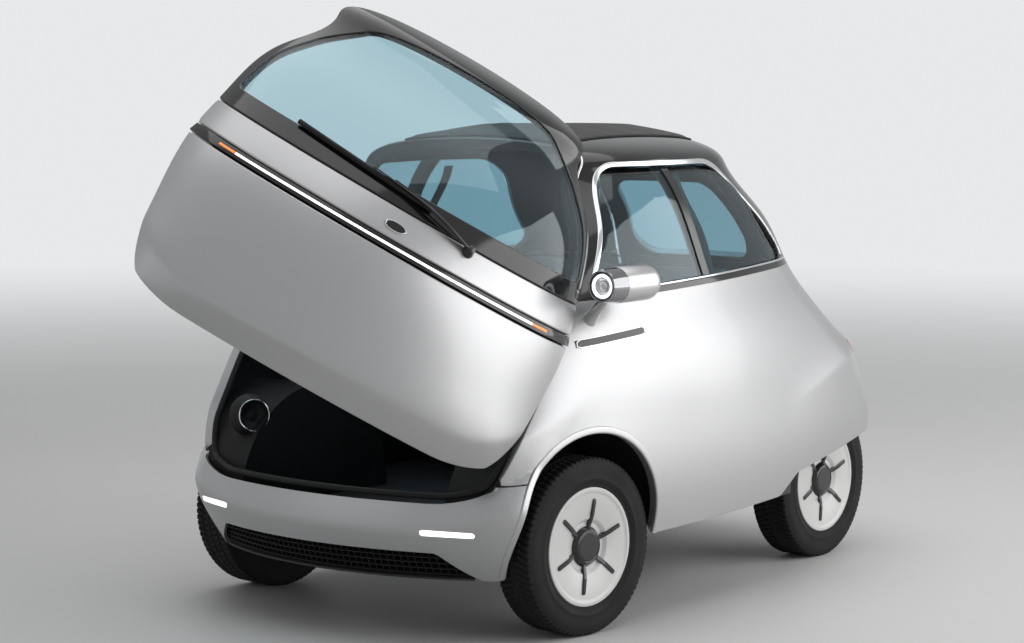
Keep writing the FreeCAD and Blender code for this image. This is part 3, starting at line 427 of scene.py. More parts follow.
def panelMesh(name, region, uRange, vRange, step=0.014, wall=0.03, roll=0.004, lift=0.0, shape=None,
              place=None):
    u, v, faces = cutPatch(region, uRange, vRange, step, roll)
    skin, bent = shapedSkin(u, v, lift, shape)
    edges = dict.fromkeys((a, b) for face in faces for a, b in zip(face, face[1:] + face[:1]))
    rim = [(a, b) for a, b in edges if (b, a) not in edges]
    rimPoints = sorted({i for pair in rim for i in pair})
    outwards = {}
    for a, b in rim:
        run = skin[b] - skin[a]
        across = np.cross(run, bent[a] + bent[b])
        for i in (a, b):
            outwards[i] = outwards.get(i, 0) + across / (np.linalg.norm(across) + 1e-12)
    centreSign = 0
    for face in faces[:200]:
        a, b, c = (skin[i] for i in face[:3])
        centreSign += np.sign(np.dot(np.cross(b - a, c - b), bent[face[0]]))
    if centreSign < 0:
        faces = [face[::-1] for face in faces]
        rim = [(b, a) for a, b in rim]
        outwards = {i: -value for i, value in outwards.items()}
    points, normals = [skin], [bent]
    ringCount = 4
    order = {i: k for k, i in enumerate(rimPoints)}
    out = np.array([outwards[i] / (np.linalg.norm(outwards[i]) + 1e-12) for i in rimPoints])
    rimSkin, rimNormal = skin[rimPoints], bent[rimPoints]
    wall = max(wall, roll)
    for k in range(1, ringCount + 1):  # the rolled edge, then the wall and its inner bevel
        angle = math.pi / 2 * k / ringCount
        points.append(rimSkin + out * roll * math.sin(angle) - rimNormal * roll * (1 - math.cos(angle)))
        normals.append(rimNormal * math.cos(angle) + out * math.sin(angle))
    points.append(rimSkin + out * roll - rimNormal * wall)
    normals.append(out)
    points.append(rimSkin + out * roll * 0.7 - rimNormal * (wall + 0.3 * roll))
    normals.append(-rimNormal)
    rings = [len(skin) + len(rimPoints) * k for k in range(ringCount + 2)]
    backStart = len(skin) + len(rimPoints) * (ringCount + 2)
    points.append(skin - bent * (wall + 0.3 * roll))
    normals.append(-bent)
    allFaces = list(faces)
    for a, b in rim:
        chain = [lambda i: i] + [lambda i, s=s: s + order[i] for s in rings] + [lambda i: backStart + i]
        for first, second in zip(chain, chain[1:]):
            allFaces.append([first(b), first(a), second(a), second(b)])
    allFaces += [[backStart + i for i in face[::-1]] for face in faces]
    points, normals = np.concatenate(points), np.concatenate(normals)
    piece = meshPiece(name, points, allFaces, normals, place)
    piece["innerFaces"] = len(faces)
    return piece


def meshPiece(name, points, faces, normals=None, place=None):
    mesh = bpy.data.meshes.new(name)
    mesh.from_pydata([tuple(point) for point in points], [], faces)
    mesh.update()
    mesh.shade_smooth()
    if normals is not None:
        lengths = np.linalg.norm(normals, axis=1, keepdims=True)
        mesh.normals_split_custom_set_from_vertices((normals / (lengths + 1e-12)).tolist())
    piece = bpy.data.objects.new(name, mesh)
    bpy.context.collection.objects.link(piece)
    if place is not None:
        mesh.transform(place)
        if normals is not None:
            turn = np.array(place.to_3x3())
            turned = (normals / (lengths + 1e-12)) @ turn.T
            mesh.normals_split_custom_set_from_vertices(turned.tolist())
    return piece


def finish(piece, material, body, replaces):
    # a pair of materials is the outer and the inner face of a panel
    for layer in material if isinstance(material, tuple) else (material,):
        piece.data.materials.append(layer)
    if isinstance(material, tuple):
        count = len(piece.data.polygons)
        index = np.where(np.arange(count) < count - piece["innerFaces"], 0, 1)
        piece.data.polygons.foreach_set("material_index", index.astype(np.int32))
    if replaces:
        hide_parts(*replaces)
    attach(piece, body)
    return piece


# mouldings, turned forms and bars
def resample(path, step, closed=False):
    path = np.array(path, float)
    if closed:
        path = np.vstack([path, path[:1]])
    run = np.concatenate([[0.0], np.cumsum(np.linalg.norm(np.diff(path, axis=0), axis=1))])
    marks = np.linspace(0, run[-1], max(2, int(math.ceil(run[-1] / step))) + 1)
    marks = marks[:-1] if closed else marks
    return np.stack([np.interp(marks, run, path[:, k]) for k in range(path.shape[1])], 1)


def onSide(outline, side, closed=False):
    outline = resample(outline, 0.015, closed)
    return np.stack([uOnSide(outline[:, 0], outline[:, 1], side), vAt(outline[:, 1])], 1)


def onFront(outline):
    outline = resample(outline, 0.015, True)
    return np.stack([uOnFront(outline[:, 0], outline[:, 1]), vAt(outline[:, 1])], 1)


def roundBar(width, low, high, radius, steps=4):
    return roundedOutline([(-width / 2, low), (width / 2, low), (width / 2, high), (-width / 2, high)],
                          radius, steps)


def gridFaces(rows, columns, closedRows, closedColumns):
    faces = []
    for i in range(rows if closedRows else rows - 1):
        for k in range(columns if closedColumns else columns - 1):
            j, m = (i + 1) % rows, (k + 1) % columns
            faces.append([i * columns + k, j * columns + k, j * columns + m, i * columns + m])
    return faces


def sweptMesh(name, points, closedPath, closedSection, place=None, sharp=35):
    # points[path step][section point]
    rows, columns = points.shape[:2]
    faces = gridFaces(rows, columns, closedPath, closedSection)
    if closedSection and not closedPath:
        faces += [list(range(columns)), list(range((rows - 1) * columns, rows * columns))[::-1]]
    piece = meshPiece(name, points.reshape(-1, 3), faces)
    tool = bmesh.new()
    tool.from_mesh(piece.data)
    bmesh.ops.recalc_face_normals(tool, faces=tool.faces)
    tool.to_mesh(piece.data)
    tool.free()
    if place is not None:
        piece.data.transform(place)
    piece.data.set_sharp_from_angle(angle=math.radians(sharp))
    return piece


def formRibbon(name, path, section, closed=False, place=None, step=0.012, shape=None):
    # section points are distances across the path and out from the skin
    path = resample(path, step, closed)
    middle, normal = formPoint(path[:, 0], path[:, 1]), formNormal(path[:, 0], path[:, 1])
    if shape is not None:
        middle = middle - normal * shape(middle)[:, None]
    ahead = np.roll(middle, -1, 0) - np.roll(middle, 1, 0) if closed else np.gradient(middle, axis=0)
    across = np.cross(normal, ahead)
    across /= np.linalg.norm(across, axis=1, keepdims=True)
    section = np.array(section, float)
    points = (middle[:, None] + across[:, None] * section[None, :, :1]
              + normal[:, None] * section[None, :, 1:])
    return sweptMesh(name, points, closed, True, place)


def axisPlace(centre, axis):
    # puts a turned piece's own X along the axis
    return Matrix.Translation(Vector(centre)) @ Vector(axis).to_track_quat("X", "Z").to_matrix().to_4x4()


def turnedMesh(name, profile, place, segments, closed=False, sharp=30):
    # profile points are (along the axis, radius); the axis is the piece's own X
    profile = np.array(profile, float)
    turn = np.linspace(0, 2 * math.pi, segments, endpoint=False)
    points = np.stack([
        np.broadcast_to(profile[None, :, 0], (segments, len(profile))),
        np.sin(turn)[:, None] * profile[None, :, 1], np.cos(turn)[:, None] * profile[None, :, 1],
    ], -1)
    return sweptMesh(name, points, True, closed, place, sharp)


def barMesh(name, points, radii, sides, closed=False, place=None, flat=1.0, guide=None):
    # bar through points, with a radius at each; flat under 1 makes it a strap
    points = np.array(points, float)
    radii = np.broadcast_to(np.array(radii, float), (len(points),))
    ahead = np.roll(points, -1, 0) - np.roll(points, 1, 0) if closed else np.gradient(points, axis=0)
    ahead /= np.linalg.norm(ahead, axis=1, keepdims=True)
    if guide is None:
        guide = (0, 0, 1) if np.abs(ahead[:, 2]).max() < 0.95 else (1, 0, 0)
    first = np.cross(ahead, np.array(guide, float))
    first /= np.linalg.norm(first, axis=1, keepdims=True)
    second = np.cross(ahead, first)
    turn = np.linspace(0, 2 * math.pi, sides, endpoint=False)
    ring = (first[:, None] * np.cos(turn)[None, :, None]
            + flat * second[:, None] * np.sin(turn)[None, :, None])
    return sweptMesh(name, points[:, None] + ring * radii[:, None, None], closed, True, place, 50)


def arcBend(points, radius, steps=6):
    # polyline in space with its inner corners rounded
    points = [np.array(point, float) for point in points]
    result = [points[0]]
    for before, corner, after in zip(points, points[1:], points[2:]):
        one, two = before - corner, after - corner
        reach = min(radius, 0.45 * np.linalg.norm(one), 0.45 * np.linalg.norm(two))
        one, two = one / np.linalg.norm(one) * reach, two / np.linalg.norm(two) * reach
        for k in range(steps + 1):
            t = k / steps
            result.append(corner + one * (1 - t) ** 2 + two * t ** 2)
    return np.array(result + [points[-1]])


def merged(name, pieces):
    tool = bmesh.new()
    for piece in pieces:
        piece.data.update()
        tool.from_mesh(piece.data)
        bpy.data.objects.remove(piece)
    mesh = bpy.data.meshes.new(name)
    tool.to_mesh(mesh)
    tool.free()
    result = bpy.data.objects.new(name, mesh)
    bpy.context.collection.objects.link(result)
    mesh.set_sharp_from_angle(angle=math.radians(35))
    return result


# materials
def effectGroup(name, inputs, outputs, build):
    # shared effect that gives colours, values or normals, never a shader
    tree = bpy.data.node_groups.new(name, "ShaderNodeTree")
    for label, kind, value in inputs:
        socket = tree.interface.new_socket(name=label, in_out="INPUT", socket_type=kind)
        socket.default_value = value
    for label, kind in outputs:
        tree.interface.new_socket(name=label, in_out="OUTPUT", socket_type=kind)
    source, target = tree.nodes.new("NodeGroupInput"), tree.nodes.new("NodeGroupOutput")
    build(tree, source.outputs, target.inputs)
    return tree


def noiseNode(tree, scale, detail, coordinates):
    node = tree.nodes.new("ShaderNodeTexNoise")
    node.inputs["Detail"].default_value = detail
    if isinstance(scale, (int, float)):
        node.inputs["Scale"].default_value = scale
    else:
        tree.links.new(scale, node.inputs["Scale"])
    tree.links.new(coordinates, node.inputs["Vector"])
    return node


def mathNode(tree, operation, first, second=None):
    node = tree.nodes.new("ShaderNodeMath")
    node.operation = operation
    for socket, value in zip(node.inputs, (first, second)):
        if value is None:
            continue
        if isinstance(value, (int, float)):
            socket.default_value = value
        else:
            tree.links.new(value, socket)
    return node.outputs[0]


def buildMottle(tree, given, gives):
    place = tree.nodes.new("ShaderNodeTexCoord").outputs["Object"]
    patches = noiseNode(tree, given["Patch Scale"], 4.0, place)
    mix = tree.nodes.new("ShaderNodeMix")
    mix.data_type = "RGBA"
    tree.links.new(mathNode(tree, "MULTIPLY", patches.outputs["Fac"], given["Patch Amount"]),
                   mix.inputs["Factor"])
    tree.links.new(given["Color"], mix.inputs[6])
    tree.links.new(given["Patch Color"], mix.inputs[7])
    tree.links.new(mix.outputs[2], gives["Color"])
    spread = tree.nodes.new("ShaderNodeMapRange")
    tree.links.new(patches.outputs["Fac"], spread.inputs["Value"])
    spread.inputs["From Min"].default_value, spread.inputs["From Max"].default_value = 0.3, 0.7
    tree.links.new(given["Roughness Low"], spread.inputs["To Min"])
    tree.links.new(given["Roughness High"], spread.inputs["To Max"])
    tree.links.new(spread.outputs[0], gives["Roughness"])
    grain = noiseNode(tree, given["Grain Scale"], 2.0, place)
    bump = tree.nodes.new("ShaderNodeBump")
    bump.inputs["Distance"].default_value = 0.001
    tree.links.new(given["Grain Depth"], bump.inputs["Strength"])
    tree.links.new(grain.outputs["Fac"], bump.inputs["Height"])
    tree.links.new(bump.outputs["Normal"], gives["Normal"])


mottle = effectGroup(
    "mottledSurface",
    [("Color", "NodeSocketColor", (0.5, 0.5, 0.5, 1)),
     ("Patch Color", "NodeSocketColor", (0.4, 0.4, 0.4, 1)), ("Patch Scale", "NodeSocketFloat", 3.0),
     ("Patch Amount", "NodeSocketFloat", 0.5), ("Roughness Low", "NodeSocketFloat", 0.3),
     ("Roughness High", "NodeSocketFloat", 0.4), ("Grain Scale", "NodeSocketFloat", 900.0),
     ("Grain Depth", "NodeSocketFloat", 0.05)],
    [("Color", "NodeSocketColor"), ("Roughness", "NodeSocketFloat"), ("Normal", "NodeSocketVector")],
    buildMottle)


def buildWeave(tree, given, gives):
    place = tree.nodes.new("ShaderNodeTexCoord").outputs["Object"]
    scaled = tree.nodes.new("ShaderNodeVectorMath")
    scaled.operation = "SCALE"
    tree.links.new(place, scaled.inputs[0])
    tree.links.new(given["Threads per Metre"], scaled.inputs["Scale"])
    split = tree.nodes.new("ShaderNodeSeparateXYZ")
    tree.links.new(scaled.outputs[0], split.inputs[0])
    turns = 2 * math.pi
    warp = mathNode(tree, "SINE", mathNode(tree, "MULTIPLY", split.outputs["X"], turns))
    run = mathNode(tree, "ADD", split.outputs["Y"], split.outputs["Z"])
    weft = mathNode(tree, "SINE", mathNode(tree, "MULTIPLY", run, turns))
    height = mathNode(tree, "MULTIPLY", mathNode(tree, "ADD", mathNode(tree, "MULTIPLY", warp, weft), 1.0),
                      0.5)
    bump = tree.nodes.new("ShaderNodeBump")
    bump.inputs["Distance"].default_value = 0.0008
    tree.links.new(given["Depth"], bump.inputs["Strength"])
    tree.links.new(height, bump.inputs["Height"])
    tree.links.new(bump.outputs["Normal"], gives["Normal"])
    fluff = noiseNode(tree, 35.0, 5.0, place)
    blend = mathNode(tree, "ADD", mathNode(tree, "MULTIPLY", height, 0.45),
                     mathNode(tree, "MULTIPLY", fluff.outputs["Fac"], 0.55))
    mix = tree.nodes.new("ShaderNodeMix")
    mix.data_type = "RGBA"
    tree.links.new(blend, mix.inputs["Factor"])
    tree.links.new(given["Dark Color"], mix.inputs[6])
    tree.links.new(given["Light Color"], mix.inputs[7])
    tree.links.new(mix.outputs[2], gives["Color"])


weave = effectGroup(
    "wovenCloth",
    [("Dark Color", "NodeSocketColor", (0.02, 0.02, 0.02, 1)),
     ("Light Color", "NodeSocketColor", (0.05, 0.05, 0.05, 1)),
     ("Threads per Metre", "NodeSocketFloat", 700.0), ("Depth", "NodeSocketFloat", 0.4)],
    [("Color", "NodeSocketColor"), ("Normal", "NodeSocketVector")], buildWeave)


def placeEffect(name, group, values):
    # new material with one shared effect beside its shader
    material = bpy.data.materials.new(name)
    material.use_nodes = True
    tree = material.node_tree
    shader = tree.nodes["Principled BSDF"]
    effect = tree.nodes.new("ShaderNodeGroup")
    effect.node_tree = group
    for label, value in values.items():
        effect.inputs[label].default_value = value
    for source, target in (("Color", "Base Color"), ("Roughness", "Roughness"), ("Normal", "Normal")):
        if source in effect.outputs:
            tree.links.new(effect.outputs[source], shader.inputs[target])
    return material, shader


def surface(name, color, rough, metallic=0.0, coat=0.0, patch=0.85, scale=3.0, amount=0.5, grain=900.0,
            depth=0.04, shine=0.5):
    material, shader = placeEffect(name, mottle, {
        "Color": (*color, 1), "Patch Color": (*[part * patch for part in color], 1), "Patch Scale": scale,
        "Patch Amount": amount, "Roughness Low": rough[0], "Roughness High": rough[1], "Grain Scale": grain,
        "Grain Depth": depth})
    for label, value in (
        ("Metallic", metallic), ("Coat Weight", coat), ("Coat Roughness", 0.08),
        ("Specular IOR Level", shine),
    ):
        shader.inputs[label].default_value = value
    return material


def cloth(name, dark, light, threads, depth):
    material, shader = placeEffect(name, weave, {
        "Dark Color": (*dark, 1), "Light Color": (*light, 1), "Threads per Metre": threads, "Depth": depth})
    shader.inputs["Roughness"].default_value, shader.inputs["Sheen Weight"].default_value = 0.9, 0.25
    return material


def clear(name, color, rough, index, coat=1.0):
    material = surface(name, color, rough, patch=0.96, scale=1.5, depth=0.0)
    tree = material.node_tree
    shader = tree.nodes["Principled BSDF"]
    tree.links.remove(shader.inputs["Normal"].links[0])
    if rough[0] == rough[1]:
        tree.links.remove(shader.inputs["Roughness"].links[0])
        shader.inputs["Roughness"].default_value = rough[0]
    shader.inputs["Transmission Weight"].default_value = 1.0
    shader.inputs["IOR"].default_value = index
    shader.inputs["Coat Weight"].default_value = coat
    shader.inputs["Coat Roughness"].default_value = 0.0
    return material


def glowing(name, color, strength):
    material = surface(name, color, (0.25, 0.35), patch=0.92, scale=40.0)
    shader = material.node_tree.nodes["Principled BSDF"]
    shader.inputs["Emission Color"].default_value = (*color, 1)
    shader.inputs["Emission Strength"].default_value = strength
    return material


paint = surface("silverPaint", (0.47, 0.47, 0.475), (0.33, 0.39), metallic=0.78, coat=0.25, patch=0.94,
                scale=1.2, amount=0.6, grain=2600.0, depth=0.06)
blackGloss = surface("blackGloss", (0.012, 0.012, 0.013), (0.07, 0.12), coat=0.15, patch=0.7, scale=2.0,
                     grain=600.0, depth=0.01)
blackTrim = surface("blackTrim", (0.014, 0.014, 0.015), (0.20, 0.32), coat=0.3)
darkPlastic = surface("darkPlastic", (0.012, 0.012, 0.013), (0.50, 0.62), patch=0.8, scale=5.0, amount=0.6,
                      grain=1500.0, depth=0.35, shine=0.25)
moulded = surface("mouldedGrey", (0.085, 0.088, 0.092), (0.45, 0.58), patch=0.8, scale=6.0, grain=1300.0,
                  depth=0.4)
brightTrim = surface("brightTrim", (0.78, 0.78, 0.79), (0.10, 0.18), metallic=1.0, patch=0.9, scale=6.0,
                     amount=0.4, grain=500.0, depth=0.01)
darkChrome = surface("darkChrome", (0.30, 0.30, 0.31), (0.08, 0.14), metallic=1.0, scale=6.0, amount=0.4,
                     grain=500.0, depth=0.01)
satinMetal = surface("satinMetal", (0.60, 0.60, 0.60), (0.26, 0.34), metallic=1.0, patch=0.9, scale=8.0,
                     grain=1800.0, depth=0.05)
wheelPaint = surface("wheelPaint", (0.60, 0.60, 0.59), (0.34, 0.44), metallic=0.1, coat=0.2, patch=0.93,
                     scale=4.0, grain=1200.0, depth=0.03)
tyreRubber = surface("tyreRubber", (0.011, 0.011, 0.011), (0.60, 0.76), patch=1.7, scale=9.0, amount=0.7,
                     grain=700.0, depth=0.35, shine=0.2)
sealRubber = surface("sealRubber", (0.012, 0.012, 0.012), (0.50, 0.64), patch=1.3, scale=12.0, depth=0.2,
                     shine=0.25)
chassisPaint = surface("chassisPaint", (0.030, 0.030, 0.032), (0.42, 0.60), metallic=0.1, patch=0.7,
                       scale=7.0, amount=0.6, grain=500.0, depth=0.25)
castMetal = surface("castMetal", (0.36, 0.36, 0.37), (0.45, 0.60), metallic=0.9, patch=0.75, scale=9.0,
                    amount=0.7, grain=350.0, depth=0.5)
redLens = surface("redLens", (0.42, 0.012, 0.012), (0.10, 0.16), coat=0.6, patch=0.7, scale=30.0,
                  amount=0.6, grain=260.0, depth=0.15)
glass = clear("tintedGlass", (0.42, 0.62, 0.69), (0.0, 0.0), index=1.04, coat=0.7)
lensGlass = clear("lensGlass", (0.93, 0.95, 0.97), (0.0, 0.01), index=1.3)
whiteGlow = glowing("whiteGlow", (0.95, 0.97, 1.0), strength=1.6)
amberGlow = glowing("amberGlow", (0.90, 0.24, 0.04), strength=0.8)
roofCloth = cloth("roofCloth", (0.010, 0.010, 0.011), (0.030, 0.030, 0.032), threads=900.0, depth=0.5)
seatCloth = cloth("seatCloth", (0.020, 0.021, 0.023), (0.060, 0.061, 0.064), threads=520.0, depth=0.6)
webbing = cloth("webbing", (0.012, 0.012, 0.012), (0.040, 0.040, 0.042), threads=420.0, depth=0.8)
print("materials made")

# openings, seams and edges of the outer panels
opening = {
    "arch": (-0.014, 0.326), "archRadius": 0.286, "sillFront": 0.268, "sillRear": 0.290,
    "skirtStart": 1.030, "skirtStep": 0.068, "skirtTail": 0.470, "beltFront": 0.990, "beltSlope": 0.033,
    "bumperSeam": 0.482, "bumperBottom": 0.186,
    "windowFront": 0.074, "windowFoot": 0.024, "windowTop": 1.374, "windowRadius": 0.300,
    "grille": ((-0.594, 0.12), (0.594, 0.12), (0.42, 0.272), (-0.42, 0.272)), "grilleRound": 0.03,
    "lidHalf": 0.430, "lidTopHalf": 0.250, "lidTop": 1.372, "lidBottom": 0.560, "lidCorner": 0.120,
    "lidFrame": 0.060, "rearGlassLow": 1.040,
}


def beltAt(y):
    return opening["beltFront"] + opening["beltSlope"] * y


windowFoot = opening["windowFoot"]
windowSide = roundedOutline([
    (seamAlong(opening["beltFront"]) + opening["windowFront"], beltAt(0.05) + windowFoot),
    (1.272, beltAt(1.272) + windowFoot), (0.972, opening["windowTop"]),
    (seamAlong(opening["windowTop"]) + opening["windowFront"], opening["windowTop"]),
], [0.024, 0.030, opening["windowRadius"], 0.090], 14)
skirtSide = roundedOutline([
    (opening["arch"][0], 0.0), (2.1, 0.0), (2.1, opening["skirtTail"]),
    (opening["skirtStart"] + 0.11, opening["sillRear"] + opening["skirtStep"]),
    (opening["skirtStart"], opening["sillRear"]), (opening["arch"][0], opening["sillFront"]),
], [0, 0, 0, 0.07, 0.07, 0])


def lidOutline(low, high, widthLow, widthHigh, corner):
    return roundedOutline([(-widthLow, low), (widthLow, low), (widthHigh, high), (-widthHigh, high)],
                          corner, 12)


lidFront = lidOutline(opening["lidBottom"], opening["lidTop"], opening["lidHalf"], opening["lidTopHalf"],
                      opening["lidCorner"])


def lidHalfAt(z):
    share = (opening["lidTop"] - z) / (opening["lidTop"] - opening["lidBottom"])
    return opening["lidTopHalf"] + share * (opening["lidHalf"] - opening["lidTopHalf"])


rearGlassHigh = opening["lidTop"] - opening["lidFrame"]
rearGlassFront = lidOutline(
    opening["rearGlassLow"], rearGlassHigh, lidHalfAt(opening["rearGlassLow"]) - opening["lidFrame"],
    lidHalfAt(rearGlassHigh) - opening["lidFrame"], 0.07)


def lidDistance(points):
    distance = outlineDistance(frontView(points), lidFront)
    return np.where(points[:, 1] < 1.0, np.maximum(distance, 0.5), distance)


def archDistance(points):
    centre = np.array(opening["arch"])
    distance = np.linalg.norm(sideView(points) - centre, axis=1) - opening["archRadius"]
    return np.where(np.abs(points[:, 0]) < 0.3, np.maximum(distance, 0.5), distance)


def bodyRegion(points):
    seam = door["seam"] / 2
    cuts = [seam - doorDistance(points), seam - lidDistance(points), -archDistance(points),
            -outlineDistance(sideView(points), skirtSide)]
    return np.max(cuts, axis=0)


def sidePanelRegion(points):
    belt = points[:, 2] - beltAt(points[:, 1])
    ahead = points[:, 1] < opening["arch"][0] - 0.055
    bumper = np.where(ahead, opening["bumperSeam"] + 0.0015 - points[:, 2], -1)
    return np.max([bodyRegion(points), belt, bumper, -np.abs(points[:, 0])], axis=0)


def bumperRegion(points):
    grilleEdge = roundedOutline(opening["grille"], [0, 0, opening["grilleRound"], opening["grilleRound"]])
    grille = -outlineDistance(frontView(points), grilleEdge)
    return np.max([bodyRegion(points), points[:, 2] - opening["bumperSeam"] + 0.0015,
                   opening["bumperBottom"] - points[:, 2], points[:, 1] - opening["arch"][0] + 0.06,
                   grille], axis=0)


def roofRegion(points):
    belt = beltAt(points[:, 1]) - points[:, 2]
    return np.max([bodyRegion(points), belt, -outlineDistance(sideView(points), windowSide)], axis=0)


def doorPanelRegion(points):
    return np.maximum(doorDistance(points) + door["seam"] / 2, points[:, 2] - door["frameLow"])


screenSide = roundedOutline([
    (-1.5, door["screenLow"]), (seamAlong(door["screenLow"]) - door["frameWidth"], door["screenLow"]),
    (seamAlong(door["screenHigh"]) - door["frameWidth"], door["screenHigh"]),
    (-1.5, door["screenHigh"] + 0.25),
], [0, 0.05, 0.09, 0])


def screenDistance(points):
    return outlineDistance(sideView(points), screenSide)


def screenFrameRegion(points):
    return np.max([doorDistance(points) + door["seam"] / 2, door["frameLow"] - points[:, 2],
                   -screenDistance(points)], axis=0)


def lidRegion(points):
    return np.maximum(lidDistance(points) + 0.003, -outlineDistance(frontView(points), rearGlassFront))


def barRegion(points):
    return np.abs(points[:, 2] - door["barHeight"]) - door["barDepth"] / 2


def sideRange(side):
    return (0.30, uTail) if side > 0 else (-uTail, -0.30)


# outer panels and glass
pane = {"wall": 0.005, "roll": 0.001, "lift": -0.004}
doorPanel = panelMesh(
    "doorPanel", lambda p: np.maximum(doorPanelRegion(p), 0.003 - barRegion(p)), (-1.35, 1.35),
    (vAt(0.40), vAt(1.0)), wall=door["wall"], roll=0.006, shape=tuckAt, place=doorPlace)
finish(doorPanel, (paint, darkPlastic), "front_door", ["door_panel"])
screenFrame = panelMesh(
    "windscreenFrame", screenFrameRegion, (-1.50, 1.50), (vAt(0.96), vTop), step=0.008, wall=0.022,
    roll=0.004, place=doorPlace)
finish(screenFrame, (blackGloss, darkPlastic), "front_door", ["windscreen_frame"])
screen = panelMesh(
    "windscreenGlass", lambda p: np.maximum(screenDistance(p) - 0.004, doorDistance(p) + 0.016),
    (-1.50, 1.50), (vAt(1.0), vTop), place=doorPlace, **pane)
finish(screen, (glass, glass), "front_door", ["windscreen"])
for name, side in sides.items():
    panel = panelMesh(
        "sidePanel_" + name, sidePanelRegion, sideRange(side), (knotV[0], vAt(1.08)), roll=0.003,
        shape=flankAt)
    finish(panel, (paint, darkPlastic), "body", ["side_panel_" + name])
bumper = panelMesh(
    "frontBumper", bumperRegion, (-1.3, 1.3), (knotV[0], vAt(0.50)), step=0.012, wall=0.012, roll=0.003,
    shape=tuckAt)
finish(bumper, (paint, darkPlastic), "body", ["front_bumper"])
roof = panelMesh("roofFrame", roofRegion, (-uTail, uTail), (vAt(0.93), vTop))
finish(roof, (blackGloss, roofCloth), "body", ["roof_frame"])
rearLid = panelMesh("rearLid", lidRegion, (uTail - 0.62, uTail + 0.62), (vAt(0.5), vAt(1.4)))
finish(rearLid, (paint, darkPlastic), "tailgate", ["rear_lid"])
rearGlass = panelMesh(
    "rearGlass", lambda p: np.maximum(outlineDistance(frontView(p), rearGlassFront), 1 - p[:, 1]),
    (uTail - 0.45, uTail + 0.45), (vAt(0.98), vAt(1.4)), **pane)
finish(rearGlass, (glass, glass), "tailgate", ["rear_window"])
print("panels made")


# seams, strips and trims on the form
def bandPath(height, reach):
    x = np.linspace(-reach, reach, 160)
    return np.stack([uOnFront(x, np.full(160, height)), np.full(160, vAt(height))], 1)


def doorBand(height, margin):
    # path across the door at one height, between its two rear edges
    u = np.linspace(-1.3, 1.3, 1200)
    points = formPoint(u, np.full(1200, vAt(height)))
    inside = doorDistance(points) < -margin
    return np.stack([u[inside], np.full(inside.sum(), vAt(height))], 1)


lightBar = {"margin": 0.006, "housing": 0.029, "depth": 0.016, "led": 0.0072, "proud": 0.0024,
            "ledEnd": 0.115, "amber": 0.055}
barPath = doorBand(door["barHeight"], lightBar["margin"])
housing = formRibbon(
    "lightBarHousing", barPath, roundBar(lightBar["housing"], -lightBar["depth"], 0.0012, 0.001),
    place=doorPlace)
finish(housing, blackGloss, "front_door", ["light_bar"])
outerEnds = barPath[0, 0] + lightBar["ledEnd"], barPath[-1, 0] - lightBar["ledEnd"]
innerEnds = outerEnds[0] + lightBar["amber"], outerEnds[1] - lightBar["amber"]
for name, low, high, glow in (
    ("amberStrip_right", outerEnds[0], innerEnds[0], amberGlow), ("ledStrip", *innerEnds, whiteGlow),
    ("amberStrip_left", innerEnds[1], outerEnds[1], amberGlow),
):
    path = barPath[(barPath[:, 0] > low) & (barPath[:, 0] < high)]
    led = formRibbon(name, path, roundBar(lightBar["led"], -0.002, lightBar["proud"], 0.001),
                     place=doorPlace)
    finish(led, glow, "front_door", ["light_bar"])

dayLamp = {"outline": [(0.385, 0.326), (0.545, 0.326), (0.545, 0.343), (0.385, 0.343)], "round": 0.008,
           "range": (0.25, 0.95)}
for name, side in sides.items():
    outline = roundedOutline([(side * x, z) for x, z in dayLamp["outline"][::side]], dayLamp["round"], 8)
    lamp = panelMesh(
        "dayLamp_" + name, lambda p: outlineDistance(frontView(p), outline),
        sorted(side * u for u in dayLamp["range"]), (vAt(0.31), vAt(0.36)), step=0.006, wall=0.006,
        roll=0.002, lift=0.001, shape=tuckAt)
    finish(lamp, (whiteGlow, whiteGlow), "body", ["front_lamps"])

